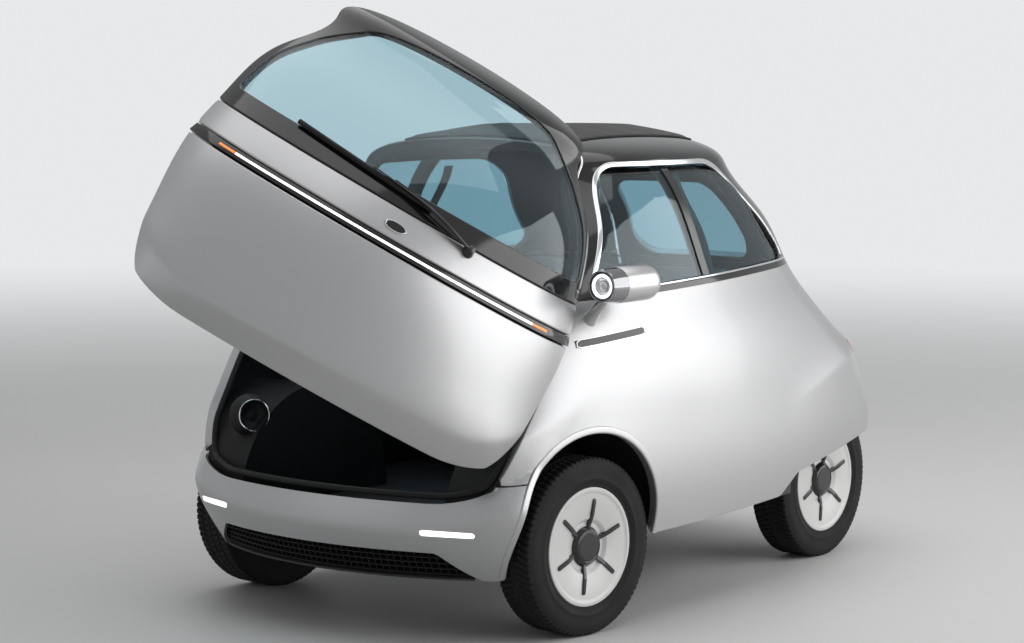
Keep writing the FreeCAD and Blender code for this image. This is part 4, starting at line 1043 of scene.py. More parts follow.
trim = {"width": 0.017, "proud": 0.003, "belt": 0.007, "pillar": 0.006, "rubber": 0.0185, "root": -0.004,
        "grown": 0.009, "rear": (1.283, 0.004)}
strip = {"width": 0.021, "rim": 0.0026, "middle": [(-0.048, 0.8690), (0.094, 0.8816), (0.234, 0.8945)],
         "outline": [(-0.048, 0.858), (0.232, 0.8835), (0.236, 0.9055), (-0.042, 0.880)]}
for name, side in sides.items():
    top = opening["windowTop"] + trim["grown"]
    frontFoot = seamAlong(opening["beltFront"]) + opening["windowFront"]
    grown = roundedOutline([
        (frontFoot - 0.005, beltAt(0.05) + windowFoot - 0.010), (1.289, beltAt(1.272) + windowFoot - 0.010),
        (0.981, top), (seamAlong(opening["windowTop"]) + opening["windowFront"] - 0.004, top),
    ], [0.010, 0.030, opening["windowRadius"] + trim["grown"], 0.100], 14)
    rearY, drop = trim["rear"]
    turnBack = np.argmin(np.linalg.norm(grown - np.array([rearY, beltAt(rearY) + windowFoot - drop]),
                                        axis=1))
    upper = np.vstack([grown[turnBack:], grown[:3]])
    ring = formRibbon(
        "windowTrim_" + name, onSide(upper, side),
        roundBar(trim["width"], trim["root"], trim["proud"], 0.0026))
    finish(ring, brightTrim, "body", ["window_trims"])
    lower = [(frontFoot - 0.002, beltAt(0.05) + windowFoot - drop),
             (1.284, beltAt(1.284) + windowFoot - drop)]
    sill = formRibbon(
        "sillTrim_" + name, onSide(lower, side),
        roundBar(trim["belt"], trim["root"], trim["proud"], 0.0022))
    finish(sill, brightTrim, "body", ["window_trims"])
    seamZ = np.linspace(0.905, door["header"] + 0.02, 40)
    pillar = np.stack([seamAlong(seamZ) + 0.010, seamZ], 1)
    edge = formRibbon("pillarTrim_" + name, onSide(pillar, side),
                      roundBar(trim["pillar"], -0.003, 0.0025, 0.002))
    finish(edge, brightTrim, "body", ())
    line = [(y, beltAt(y) + 0.0065) for y in (0.066, 1.276)]
    belt = formRibbon("beltRubber_" + name, onSide(line, side),
                      roundBar(trim["rubber"], trim["root"], 0.0012, 0.001))
    finish(belt, blackGloss, "body", ())
    plate = formRibbon(
        "sideStrip_" + name, onSide(strip["middle"], side), roundBar(strip["width"], 0.0002, 0.0027, 0.001))
    finish(plate, blackTrim, "body", ["shoulder_strips"])
    stripEdge = onSide(roundedOutline(strip["outline"], 0.003, 4), side, True)
    rimStrip = formRibbon(
        "sideStripRim_" + name, stripEdge, roundBar(strip["rim"], 0.0004, 0.0032, 0.0008), closed=True)
    finish(rimStrip, brightTrim, "body", ["shoulder_strips"])
print("trims made")


# rolled arch edges
arch = {"start": -26, "stop": 190, "outside": 0.006, "width": 0.023, "depth": 0.013, "proud": 0.0026}


def archPath():
    turn = np.radians(np.linspace(arch["start"], arch["stop"], 90))
    radius = opening["archRadius"] + arch["outside"]
    y, z = opening["arch"][0] - radius * np.cos(turn), opening["arch"][1] + radius * np.sin(turn)
    return np.stack([y, z], 1)


for name, side in sides.items():
    section = roundBar(arch["width"], -arch["depth"], arch["proud"], 0.0050, 6)
    flange = formRibbon("archEdge_" + name, onSide(archPath(), side), section, shape=tuckAt)
    finish(flange, paint, "body", ["side_panel_" + name])
print("arches made")

# wheels and tyres
tyre = {
    "radius": 0.2665, "halfWidth": 0.0725, "bead": 0.1655, "pitches": 84, "tread": 0.0045, "samples": 8,
    "shoulder": 0.015, "ribEdge": 0.012, "skew": 110,
    "grooves": ((-0.030, 0.0045), (0.0, 0.0045), (0.030, 0.0045)),
}
cover = {
    "radius": 0.178, "out": 0.069, "cap": 0.060, "dish": 0.076, "fingers": 6, "fingerReach": 0.144,
    "fingerWidth": 0.0135, "firstFinger": -9.3,
}


def wheelPlace(name):
    # the wheel's own X points out of the car along its axle
    joint = joints[name + "_roll"]
    axis = Vector(joint["axis"]).normalized()
    centre = Vector(joint["pos_m"])
    out = axis if centre.x > 0 else -axis
    turn = math.atan2(out.y, out.x)
    return Matrix.Translation(centre) @ Matrix.Rotation(turn, 4, "Z")


def treadColumns():
    # stations across the tread; each is (across, is groove)
    half = tyre["halfWidth"] - tyre["shoulder"]
    marks = {middle + sign * width for middle, width in tyre["grooves"] for sign in (-1, 1)}
    marks = sorted(marks | {-half, half})
    columns = []
    for low, high in zip(marks, marks[1:]):
        groove = any(abs((low + high) / 2 - middle) < width for middle, width in tyre["grooves"])
        inner = np.linspace(low, high, 3 if groove else 6)
        columns += [(x, groove and 0 < k < 2) for k, x in enumerate(inner)][:-1]
    return columns + [(half, False)]


def tyreMesh(name, place):
    radius, half, bead = tyre["radius"], tyre["halfWidth"], tyre["bead"]
    columns = treadColumns()
    edge = half - tyre["shoulder"]
    shoulder = [(edge + 0.008 * math.sin(t), radius - 0.009 * (1 - math.cos(t)))
                for t in np.radians((30, 60, 85))]
    wallLine = [
        (half - 0.0035, radius - 0.016), (half - 0.0012, radius - 0.024), (half - 0.0002, radius - 0.034),
        (half, radius - 0.046), (half - 0.0008, radius - 0.060), (half - 0.0002, radius - 0.0615),
        (half - 0.0002, radius - 0.0645), (half - 0.0012, radius - 0.066), (half - 0.004, radius - 0.078),
        (half - 0.0055, radius - 0.0795), (half - 0.0055, radius - 0.084), (half - 0.009, bead + 0.012),
        (half - 0.012, bead + 0.004), (half - 0.014, bead),
    ]
    outer = shoulder + wallLine
    profile = [(-x, r) for x, r in outer[::-1]] + [(x, radius) for x, groove in columns] + outer
    firstColumn = len(outer)
    count = tyre["pitches"] * tyre["samples"]
    turn = np.linspace(0, 2 * math.pi, count, endpoint=False)
    profile = np.array(profile)
    across, rise = np.broadcast_to(profile[:, 0], (count, len(profile))), np.tile(profile[:, 1], (count, 1))
    step = np.arange(count)[:, None]
    columnX = np.array([x for x, groove in columns])
    isGroove = np.array([groove for x, groove in columns])
    shift = (np.abs(columnX) * tyre["skew"] + (columnX > 0) * 4).astype(int)
    cross = ((step + shift[None, :]) % tyre["samples"]) < 2
    cross = cross & ~(np.abs(columnX) < tyre["ribEdge"])[None, :]
    depth = np.where(isGroove[None, :] | cross, tyre["tread"], 0.0)
    rise[:, firstColumn:firstColumn + len(columns)] -= depth
    for offset, fade in ((0, 1.0), (1, 0.8), (2, 0.45)):
        for index, sign in ((firstColumn + len(columns) + offset, 4), (firstColumn - 1 - offset, 0)):
            mark = ((step[:, 0] + int(edge * tyre["skew"]) + sign) % tyre["samples"]) < 2
            rise[:, index] -= np.where(mark, tyre["tread"] * fade, 0.0)
    points = np.stack([across, np.sin(turn)[:, None] * rise, np.cos(turn)[:, None] * rise], -1)
    return sweptMesh(name, points, True, False, place, 40)


def coverMesh(name, place):
    out, radius, cap, dish = cover["out"], cover["radius"], cover["cap"], cover["dish"]
    profile = [
        (out - 0.019, cap - 0.004), (out - 0.019, dish - 0.002), (out - 0.018, dish),
        (out - 0.0105, dish + 0.0075), (out - 0.0092, dish + 0.0105), (out - 0.0048, radius - 0.022),
        (out - 0.0044, radius - 0.0185), (out - 0.0018, radius - 0.0125), (out - 0.0008, radius - 0.0105),
        (out - 0.0006, radius - 0.003), (out - 0.0016, radius - 0.0008), (out - 0.004, radius),
        (out - 0.007, radius - 0.001), (out - 0.008, radius - 0.010), (out - 0.014, radius - 0.016),
        (out - 0.026, cap + 0.02), (out - 0.026, cap - 0.004),
    ]
    return turnedMesh(name, profile, place, 128, True, 25)


def fingerMesh(name, place):
    # one bar down in the dish at the cap, then out along the cover
    out, dish, reach, wide = cover["out"], cover["dish"], cover["fingerReach"], cover["fingerWidth"] / 2
    spine = np.array([
        (out - 0.0125, dish - 0.024), (out - 0.0115, dish - 0.012), (out - 0.0080, dish - 0.002),
        (out - 0.0050, dish + 0.010), (out - 0.0030, dish + 0.020), (out - 0.0010, reach - 0.006),
        (out - 0.0018, reach - 0.002), (out - 0.0050, reach),
    ])
    pieces = []
    for k in range(cover["fingers"]):
        angle = math.radians(cover["firstFinger"] + 60 * k)
        rows = []
        for x, r in spine:
            width = wide * (0.55 if r >= reach else 0.86 if r > reach - 0.004 else 1.0)
            ring = [(x - 0.010, -width), (x - 0.0015, -width), (x, -width * 0.72), (x, width * 0.72),
                    (x - 0.0015, width), (x - 0.010, width)]
            rows.append([(px, py, r) for px, py in ring])
        points = np.array(rows)
        turned = points.copy()
        turned[..., 1] = points[..., 1] * math.cos(angle) - points[..., 2] * math.sin(angle)
        turned[..., 2] = points[..., 1] * math.sin(angle) + points[..., 2] * math.cos(angle)
        pieces.append(sweptMesh("%s_%d" % (name, k), turned, False, True, place, 30))
    return merged(name, pieces)


def capMesh(name, place):
    out, cap = cover["out"], cover["cap"]
    profile = [
        (out - 0.020, cap), (out - 0.0165, cap + 0.0005), (out - 0.0150, cap - 0.0008),
        (out - 0.0070, cap - 0.0085), (out - 0.0052, cap - 0.0105), (out - 0.0044, cap - 0.0135),
        (out - 0.0052, cap - 0.0148), (out - 0.0060, cap - 0.0160), (out - 0.0056, cap - 0.0185),
        (out - 0.0042, cap - 0.0195), (out - 0.0040, 0.020), (out - 0.0040, 0.0),
    ]
    return turnedMesh(name, profile, place, 96, False, 25)


def rimMesh(name, place):
    bead = tyre["bead"]
    profile = [
        (0.0575, bead - 0.0005), (0.0590, bead + 0.003), (0.0575, bead + 0.006), (0.0560, bead + 0.003),
        (0.0500, bead - 0.004), (0.0300, bead - 0.012), (-0.0300, bead - 0.012), (-0.0500, bead - 0.004),
        (-0.0560, bead + 0.003), (-0.0575, bead + 0.006), (-0.0590, bead + 0.003), (-0.0575, bead - 0.006),
        (-0.0480, bead - 0.013), (-0.0280, bead - 0.020), (0.0100, bead - 0.020), (0.0200, 0.120),
        (0.0240, 0.092), (0.0200, 0.060), (-0.0030, 0.046), (-0.0030, 0.030), (0.0360, 0.030),
        (0.0400, 0.100), (0.0480, 0.140), (0.0500, bead - 0.012),
    ]
    return turnedMesh(name, profile, place, 96, True, 30)


for name in ("front_left", "front_right", "rear_left", "rear_right"):
    place, body = wheelPlace(name), name + "_roadwheel"
    finish(tyreMesh("treadTyre_" + name, place), tyreRubber, body, [name + "_tyre"])
    finish(rimMesh("rimBarrel_" + name, place), chassisPaint, body, [name + "_wheel"])
    finish(coverMesh("wheelCover_" + name, place), wheelPaint, body, [name + "_wheel"])
    finish(fingerMesh("coverFingers_" + name, place), blackGloss, body, [name + "_wheel"])
    finish(capMesh("hubCap_" + name, place), blackGloss, body, [name + "_wheel"])
print("wheels made")

# lamp pods
pod = {
    "x": 0.752, "y": -0.062, "z": 1.046, "radius": 0.054, "nose": 0.046, "length": 0.262,
    "footBack": 0.092, "footZ": 0.940, "head": (-0.018, 0.062, -0.030),
    "stalkAt": (-0.06, 0.0, 0.12, 0.3, 0.5, 0.7, 0.85, 1.0),
    "stalkRadii": (0.024, 0.0225, 0.019, 0.0165, 0.0150, 0.0140, 0.0142, 0.0150),
}
for name, side in sides.items():
    place = Matrix.Translation((side * pod["x"], pod["y"], pod["z"])) @ Matrix.Rotation(math.pi / 2, 4, "Z")
    big, length, noseR = pod["radius"], pod["length"], pod["nose"]
    dome = [(length - big * (1 - math.sin(t)), big * math.cos(t))
            for t in np.radians(np.linspace(0, 90, 14))]
    bandLine = [
        (0.006, noseR - 0.0045), (0.0015, noseR - 0.004), (0.0, noseR - 0.0015), (0.002, noseR + 0.001),
        (0.012, noseR + 0.0025), (0.030, noseR + 0.0045), (0.055, big - 0.0025), (0.070, big - 0.0015)]
    for label, line, segments, material, part, slot in (
        ("podBand_", bandLine, 96, darkChrome, "lamp_pods", "pod_metal"),
        ("podHousing_", [(0.0700, big - 0.0045), (0.0705, big - 0.001), (0.073, big)] + dome,
         96, satinMetal, "lamp_pods", "pod_metal"),
        ("podRing_", [(0.010, noseR - 0.004), (0.003, noseR - 0.0045), (0.002, noseR - 0.0075),
                      (0.004, noseR - 0.0095), (0.012, noseR - 0.010)],
         96, blackTrim, "lamp_pods", "black_trim"),
        ("podLight_", [(0.012, noseR - 0.0105), (0.0065, noseR - 0.011), (0.005, noseR - 0.0145),
                       (0.0065, noseR - 0.0185), (0.012, noseR - 0.019)],
         96, whiteGlow, "lamp_lenses", "lamp_white"),
        ("podBowl_", [(0.011, noseR - 0.019), (0.014, 0.022), (0.020, 0.014), (0.016, 0.0135),
                      (0.0135, 0.009), (0.0125, 0.0)],
         72, satinMetal, "lamp_lenses", "pod_metal"),
        ("podLens_", [(0.010, noseR - 0.0098), (0.0035, noseR - 0.0105), (0.0015, 0.022), (0.0010, 0.010),
                      (0.0009, 0.0)],
         72, lensGlass, "lamp_lenses", "clear_glass"),
    ):
        finish(turnedMesh(label + name, line, place, segments), material, "body", [part])
    footSkin = formPoint(uOnSide(pod["y"] + pod["footBack"], pod["footZ"], side), vAt(pod["footZ"]))[0]
    inwards, back, down = pod["head"]
    run = np.array([side * (pod["x"] + inwards), pod["y"] + back, pod["z"] + down]) - footSkin
    stalk = barMesh("podStalk_" + name, [footSkin + run * t for t in pod["stalkAt"]], pod["stalkRadii"], 40)
    finish(stalk, satinMetal, "body", ["lamp_pods"])
print("pods made")

# wiper, badge and grille
wiper = {
    "pivot": (0.215, 0.968), "elbow": (0.040, 1.012), "joint": (-0.130, 1.032), "low": (0.070, 1.014),
    "high": (-0.370, 1.040), "arm": (0.010, 0.0085, 0.0045), "hoseRadius": 0.0022,
    "hose": ((0.215, 0.968, 0.006), (0.190, 0.985, 0.012), (0.120, 1.000, 0.016), (0.040, 1.020, 0.019),
             (-0.060, 1.030, 0.019)),
    "blade": ((-0.009, 0.010), (-0.006, 0.0095), (-0.0008, 0.0085), (-0.0005, -0.0025), (0.0005, -0.0025),
              (0.0008, 0.0085), (0.006, 0.0095), (0.009, 0.010), (0.007, 0.014), (0.003, 0.0175),
              (-0.003, 0.0175), (-0.007, 0.014)),
    "cap": ((-0.004, 0.019), (0.004, 0.0185), (0.010, 0.0150), (0.018, 0.0135), (0.024, 0.0115),
            (0.0265, 0.007), (0.027, 0.0)),
}


def onNose(x, z, proud):
    u, v = uOnFront(np.array([x]), np.array([z])), np.array([vAt(z)])
    return (formPoint(u, v) + formNormal(u, v) * proud)[0]


arm = arcBend([onNose(*wiper["pivot"], 0.014), onNose(0.130, 0.990, 0.026), onNose(*wiper["elbow"], 0.026),
               onNose(*wiper["joint"], 0.020)], 0.04)
armRadii = np.interp(np.linspace(0, 1, len(arm)), [0, 0.4, 1], wiper["arm"])
armPiece = barMesh("wiperArm", arm, armRadii, 14, place=doorPlace, flat=0.55)
finish(armPiece, blackTrim, "front_door", ["wiper"])
hose = barMesh("wiperHose", arcBend([onNose(*spot) for spot in wiper["hose"]], 0.05), wiper["hoseRadius"],
               8, place=doorPlace)
finish(hose, sealRubber, "front_door", ["wiper"])
bladeX = np.linspace(wiper["low"][0], wiper["high"][0], 40)
bladeZ = np.interp(bladeX, [wiper["high"][0], wiper["low"][0]], [wiper["high"][1], wiper["low"][1]])
bladePath = np.stack([uOnFront(bladeX, bladeZ), vAt(bladeZ)], 1)
blade = formRibbon("wiperBlade", bladePath, wiper["blade"], place=doorPlace)
finish(blade, sealRubber, "front_door", ["wiper"])
pivotAt = onNose(*wiper["pivot"], 0.0)
pivotPlace = doorPlace @ axisPlace(pivotAt, onNose(*wiper["pivot"], 1.0) - pivotAt)
finish(turnedMesh("wiperPivot", wiper["cap"], pivotPlace, 48), blackTrim, "front_door", ["wiper"])

oval = {"half": 0.034, "rise": 0.0125, "z": 0.930, "rim": 0.003}
turn = np.linspace(0, 2 * math.pi, 48, endpoint=False)
badgeFront = np.stack([oval["half"] * np.cos(turn), oval["z"] + oval["rise"] * np.sin(turn)], 1)
badge = panelMesh("bareBadge", lambda p: outlineDistance(frontView(p), badgeFront), (-0.06, 0.06),
                  (vAt(0.91), vAt(0.95)), step=0.003, wall=0.002, roll=0.0012, lift=0.0026, place=doorPlace)
finish(badge, (blackGloss, blackGloss), "front_door", ["door_emblem"])
badgeRim = formRibbon("badgeRim", onFront(badgeFront), roundBar(oval["rim"], 0.0, 0.0034, 0.001),
                      closed=True, place=doorPlace, step=0.004)
finish(badgeRim, brightTrim, "front_door", ["door_emblem"])
print("door fittings made")

grille = {"low": 0.198, "high": 0.268, "reach": 0.50, "ribs": 5, "bars": 46, "backReach": 0.53, "lipZ": 0.190}
ribBar, uprightBar = roundBar(0.0045, -0.036, -0.014, 0.002), roundBar(0.004, -0.034, -0.018, 0.0015)
ribs = []
for k, z in enumerate(np.linspace(grille["low"], grille["high"], grille["ribs"])):
    ribs.append(formRibbon("rib%d" % k, bandPath(z, grille["reach"]), ribBar))
for k, x in enumerate(np.linspace(-grille["reach"], grille["reach"], grille["bars"])):
    z = np.linspace(grille["low"], grille["high"], 6)
    ribs.append(formRibbon("bar%d" % k, np.stack([uOnFront(np.full(6, x), z), vAt(z)], 1), uprightBar))
finish(merged("grilleRibs", ribs), darkPlastic, "body", ["lower_grille"])


def backingRegion(points):
    low, high = grille["low"] - 0.006, grille["high"] + 0.012
    return np.max([low - points[:, 2], points[:, 2] - high, np.abs(points[:, 0]) - grille["backReach"]], 0)


backing = panelMesh(
    "grilleBacking", backingRegion, (-0.6, 0.6), (knotV[0], vAt(0.30)), wall=0.004, roll=0.002, lift=-0.034)
finish(backing, (darkPlastic, darkPlastic), "body", ["lower_grille"])
lip = formRibbon("grilleLip", bandPath(grille["lipZ"], grille["reach"]),
                 roundBar(0.007, -0.030, -0.003, 0.003))
finish(lip, chassisPaint, "body", ["lower_grille"])
print("grille made")

# seal round the door opening
seal = {"inset": 0.016, "top": 1.38, "width": 0.018, "low": -0.046, "high": -0.028, "round": 0.007}
lowerSeal = resample(doorFrontOutline(seal["inset"], 24)[:-2], 0.010)
lowerSeal = np.stack([uOnFront(lowerSeal[:, 0], lowerSeal[:, 1]), vAt(lowerSeal[:, 1])], 1)
sealSpots = sideView(formPoint(lowerSeal[:, 0], lowerSeal[:, 1]))
lowerSeal = lowerSeal[outlineDistance(sealSpots, doorSide) < -seal["inset"]]
seamZ = np.arange(np.interp(lowerSeal[-1, 1], knotV, levelZ) + 0.010, seal["top"], 0.012)
sealSide = np.stack([uOnSide(seamAlong(seamZ) - seal["inset"], seamZ), vAt(seamZ)], 1)
sealPath = np.vstack([(sealSide * [-1, 1])[::-1], lowerSeal, sealSide])
sealBar = roundBar(seal["width"], seal["low"], seal["high"], seal["round"], 5)
sealStrip = formRibbon("doorOpeningSeal", sealPath, sealBar, shape=tuckAt)
finish(sealStrip, sealRubber, "body", ["door_seal"])
print("seal made")

# folding roof: one stretched cloth with its folds across the car
canopy = {
    "half": 0.328, "front": 0.302, "back": 1.058, "corner": 0.060, "proud": 0.0065, "thickness": 0.0022,
    "bows": 5, "foldDepth": 0.0045, "hem": 0.030, "lift": 0.0030, "piping": 0.0034,
    "cut": (0.66, 0.77),
}


def roofHeight(x, y):
    # height of the form above a point of the plan
    low, high = np.full(len(x), 1.20), np.full(len(x), levelZ[-1])
    for _ in range(24):
        middle = (low + high) / 2
        width, widest, forward, backward, frontCorner, rearCorner = sectionAt(middle)
        reaches = (y > widest - forward) & (y < widest + backward)
        reaches &= formPoint(uOnSide(y, middle), vAt(middle))[:, 0] > np.abs(x)
        low, high = np.where(reaches, middle, low), np.where(reaches, high, middle)
    return low


def canopyOutline(grow, steps):
    half, front, back = canopy["half"] + grow, canopy["front"] - grow, canopy["back"] + grow
    return roundedOutline([(-half, front), (half, front), (half, back), (-half, back)], canopy["corner"],
                          steps)


def canopyMesh():
    columns, rows = 67, 121
    across = np.linspace(-canopy["half"], canopy["half"], columns)
    along = np.linspace(canopy["front"], canopy["back"], rows)
    x, y = (grid.ravel() for grid in np.meshgrid(across, along))
    outline = canopyOutline(0.0, 12)
    plan = np.stack([x, y], 1)
    centre = np.array([0.0, (canopy["front"] + canopy["back"]) / 2])
    for _ in range(4):  # corners drawn in to the rounded outline
        over = np.maximum(outlineDistance(plan, outline), 0)[:, None]
        plan -= over * (plan - centre) / (np.linalg.norm(plan - centre, axis=1, keepdims=True) + 1e-9)
    edge = np.clip(-outlineDistance(plan, outline) / canopy["hem"], 0, 1)
    run = (plan[:, 1] - canopy["front"]) / (canopy["back"] - canopy["front"])
    bows = np.abs(np.sin(math.pi * run * canopy["bows"])) ** 0.7
    folds = canopy["foldDepth"] * (1 - bows) * edge
    height = roofHeight(plan[:, 0], plan[:, 1]) + canopy["lift"] + canopy["proud"] * edge - 0.6 * folds
    points = np.stack([plan[:, 0], plan[:, 1], height], 1)
    faces = [face[::-1] for face in gridFaces(rows, columns, False, False)]
    piece = meshPiece("roofCanopy", points, faces)
    thick = piece.modifiers.new("thick", "SOLIDIFY")
    thick.thickness, thick.offset = canopy["thickness"], -1
    bpy.context.view_layer.objects.active = piece
    with bpy.context.temp_override(object=piece, active_object=piece):
        bpy.ops.object.modifier_apply(modifier="thick")
    return piece


roofCanopy = finish(canopyMesh(), roofCloth, "body", ["sunroof_fabric"])
railPath = resample(canopyOutline(0.001, 10), 0.012, True)
railPoints = np.column_stack([railPath, roofHeight(railPath[:, 0], railPath[:, 1]) + 0.0015])
finish(barMesh("canopyPiping", railPoints, canopy["piping"], 8, True), sealRubber, "body", ())
print("canopy made")

# bench: foam swollen by cloth simulation, then seams
bench = {
    "half": 0.494, "voxel": 0.007, "pressure": 4.0, "cap": 0.024, "shrink": 0.012, "frames": 20,
    "seat": [(0.620, 0.448), (1.086, 0.448), (1.090, 0.560), (0.640, 0.566)],
    "seatRound": [0.03, 0.03, 0.045, 0.05],
    "back": [(1.052, 0.590), (1.166, 0.590), (1.258, 1.022), (1.170, 1.034)],
    "backRound": [0.02, 0.02, 0.035, 0.035],
    "channels": (-0.330, -0.165, 0.0, 0.165, 0.330), "channelWidth": 0.0065, "channelDepth": 0.011,
    "piping": 0.0035,
}


def foamMesh(name, profile, half, radii):
    # a rounded side outline carried across the car
    outline = roundedOutline(profile, radii, 8)
    ends = [0.90, 0.95, 0.985, 1]
    stations = half * np.array([-end for end in ends[::-1]] + list(np.linspace(-0.8, 0.8, 17)) + ends)
    centre = outline.mean(0)
    draw = np.interp(np.abs(stations) / half, [0.0, 0.90, 0.95, 0.985, 1.0], [1.0, 1.0, 0.975, 0.93, 0.86])
    points = [[(x, *(centre + (p - centre) * s)) for p in outline] for x, s in zip(stations, draw)]
    return sweptMesh(name, np.array(points), False, True, sharp=180)


def padPiece(name, profile, radii, node):
    piece = foamMesh(name, profile, bench["half"] - bench["shrink"], radii)
    remesh = piece.modifiers.new("remesh", "REMESH")
    remesh.mode, remesh.voxel_size = "VOXEL", bench["voxel"] * 1
    with bpy.context.temp_override(object=piece, active_object=piece):
        bpy.ops.object.modifier_apply(modifier="remesh")
    start = np.array([v.co[:] for v in piece.data.vertices])
    soft = piece.modifiers.new("foam", "CLOTH")
    soft.settings.use_pressure = True
    soft.settings.uniform_pressure_force = bench["pressure"]
    soft.settings.effector_weights.gravity = 0.0
    soft.settings.quality = 5
    soft.point_cache.frame_start, soft.point_cache.frame_end = 1, bench["frames"]
    for step in range(1, bench["frames"] + 1):
        bpy.context.scene.frame_set(step)
    swollen = piece.evaluated_get(bpy.context.evaluated_depsgraph_get()).data
    end = np.array([v.co[:] for v in swollen.vertices])
    piece.modifiers.clear()
    bpy.context.scene.frame_set(1)
    move = end - start
    length = np.linalg.norm(move, axis=1, keepdims=True) + 1e-9
    start = start + move / length * bench["cap"] * np.tanh(length / bench["cap"])
    piece.data.vertices.foreach_set("co", start.ravel())
    piece.data.update()
    normals = np.array([v.normal[:] for v in piece.data.vertices])
    low, high = (np.array(corner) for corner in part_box(node))
    seams = np.zeros(len(start))
    for mark in bench["channels"]:
        seams = np.maximum(seams, np.exp(-((start[:, 0] - mark) / bench["channelWidth"]) ** 2))
    face = np.clip(normals[:, 2] if node == "seat_cushion" else -normals[:, 1], 0, 1)
    start = start - normals * (bench["channelDepth"] * seams * face)[:, None]
    start = np.clip(start, low - 0.002, high + 0.004)
    piece.data.vertices.foreach_set("co", start.ravel())
    smooth = piece.modifiers.new("smooth", "SMOOTH")
    smooth.factor, smooth.iterations = 0.5, 3
    with bpy.context.temp_override(object=piece, active_object=piece):
        bpy.ops.object.modifier_apply(modifier="smooth")
    piece.data.shade_smooth()
    finish(piece, seatCloth, "body", [node])


padPiece("seatPad", bench["seat"], bench["seatRound"], "seat_cushion")
padPiece("backPad", bench["back"], bench["backRound"], "seat_back")
for label, path in (("seatPiping", [(-0.486, 0.648, 0.560), (0.0, 0.640, 0.563), (0.486, 0.648, 0.560)]),
                    ("backPiping", [(-0.480, 1.160, 1.034), (0.0, 1.158, 1.038), (0.480, 1.160, 1.034)])):
    finish(barMesh(label, resample(path, 0.03), bench["piping"], 8), webbing, "body", ())
print("bench made")

# steering wheel
wheelRim = {
    "centre": (0.240, 0.300, 0.810), "rake": 40.0, "radius": 0.165, "tube": 0.0135,
    "spokes": (90, 180, 270), "spokeReach": (0.030, 0.060, 0.100, 0.140, 0.158),
    "spokeLift": (-0.012, -0.010, -0.006, -0.002, 0.0), "spokeRadii": (0.020, 0.016, 0.0125, 0.0115, 0.010),
    "hub": [(-0.036, 0.012), (-0.034, 0.030), (-0.018, 0.034), (-0.004, 0.044), (0.004, 0.042),
            (0.010, 0.034), (0.013, 0.018), (0.0135, 0.0)],
}
rakeAngle = math.radians(wheelRim["rake"])
steerPlace = axisPlace(wheelRim["centre"], (0, math.cos(rakeAngle), math.sin(rakeAngle)))
turn = np.linspace(0, 2 * math.pi, 96, endpoint=False)
rimR = wheelRim["radius"]
grip = wheelRim["tube"] * (1 + 0.10 * np.exp(-((np.cos(turn * 2)) / 0.35) ** 2))
rimPoints = np.stack([np.zeros(96), rimR * np.sin(turn), rimR * np.cos(turn)], 1)
finish(barMesh("steeringRim", rimPoints, grip, 16, True, place=steerPlace, flat=0.9, guide=(1, 0, 0)),
       blackTrim, "steering_wheel", ["steering_wheel"])
spokes = []
for k, heading in enumerate(wheelRim["spokes"]):
    angle, reach = math.radians(heading), np.array(wheelRim["spokeReach"])
    line = np.stack([wheelRim["spokeLift"], reach * math.sin(angle), reach * math.cos(angle)], 1)
    spokes.append(barMesh("spoke%d" % k, line, wheelRim["spokeRadii"], 14, place=steerPlace, flat=0.35))
finish(merged("steeringSpokes", spokes), satinMetal, "steering_wheel", ["steering_wheel"])
hub = turnedMesh("steeringHub", wheelRim["hub"], steerPlace, 64)
finish(hub, blackTrim, "steering_wheel", ["steering_wheel"])
print("steering wheel made")

# rear lamps and the lid's hinge barrels
lampBar = {"middle": 0.716, "half": 0.024, "reach": 0.556, "fromLid": 0.010, "range": (0.72, 0.30)}


def rearLampRegion(points):
    band = np.abs(points[:, 2] - lampBar["middle"]) - lampBar["half"]
    ends = np.abs(points[:, 0]) - lampBar["reach"]
    return np.max([band, ends, lampBar["fromLid"] - lidDistance(points), 1.2 - points[:, 1]], axis=0)


for name, side in sides.items():
    span = sorted(side * (uTail - reach) for reach in lampBar["range"])
    lamp = panelMesh("rearLamp_" + name, rearLampRegion, span, (vAt(0.68), vAt(0.76)), step=0.008,
                     wall=0.010, roll=0.003, lift=0.0015, shape=flankAt)
    finish(lamp, (redLens, darkPlastic), "body", ["rear_lamps"])
hingeAt = joints["tailgate_hinge"]["pos_m"]
lidBarrel = {"across": 0.100, "line": [
    (-0.016, 0.0), (-0.016, 0.0068), (-0.015, 0.0078), (0.015, 0.0078), (0.016, 0.0068), (0.016, 0.0)]}
for k, side in enumerate((-1, 1)):
    place = Matrix.Translation((side * lidBarrel["across"], hingeAt[1], hingeAt[2]))
    barrel = turnedMesh("lidBarrel%d" % k, lidBarrel["line"], place, 40)
    finish(barrel, blackTrim, "tailgate", ())
print("rear lamps made")

# seat belts
belts = {
    "low": 0.62, "high": 1.355, "along": 0.728, "inside": 0.0325,
    "section": ((-0.023, 0.0), (-0.0215, 0.0012), (0.0215, 0.0012), (0.023, 0.0), (0.0215, -0.0012),
                (-0.0215, -0.0012)),
}
for name, side in sides.items():
    heights = np.linspace(belts["low"], belts["high"], 24)
    u, v = uOnSide(np.full(24, belts["along"]), heights, side), vAt(heights)
    outwards = formNormal(u, v)
    spine = formPoint(u, v) - outwards * belts["inside"]
    belt = []
    for point, normal in zip(spine, outwards):
        belt.append([point + np.array([0, across, 0]) + normal * out for across, out in belts["section"]])
    finish(sweptMesh("beltWeb_" + name, np.array(belt), False, True, sharp=60), webbing, "body",
           ["seat_belts"])
print("belts made")

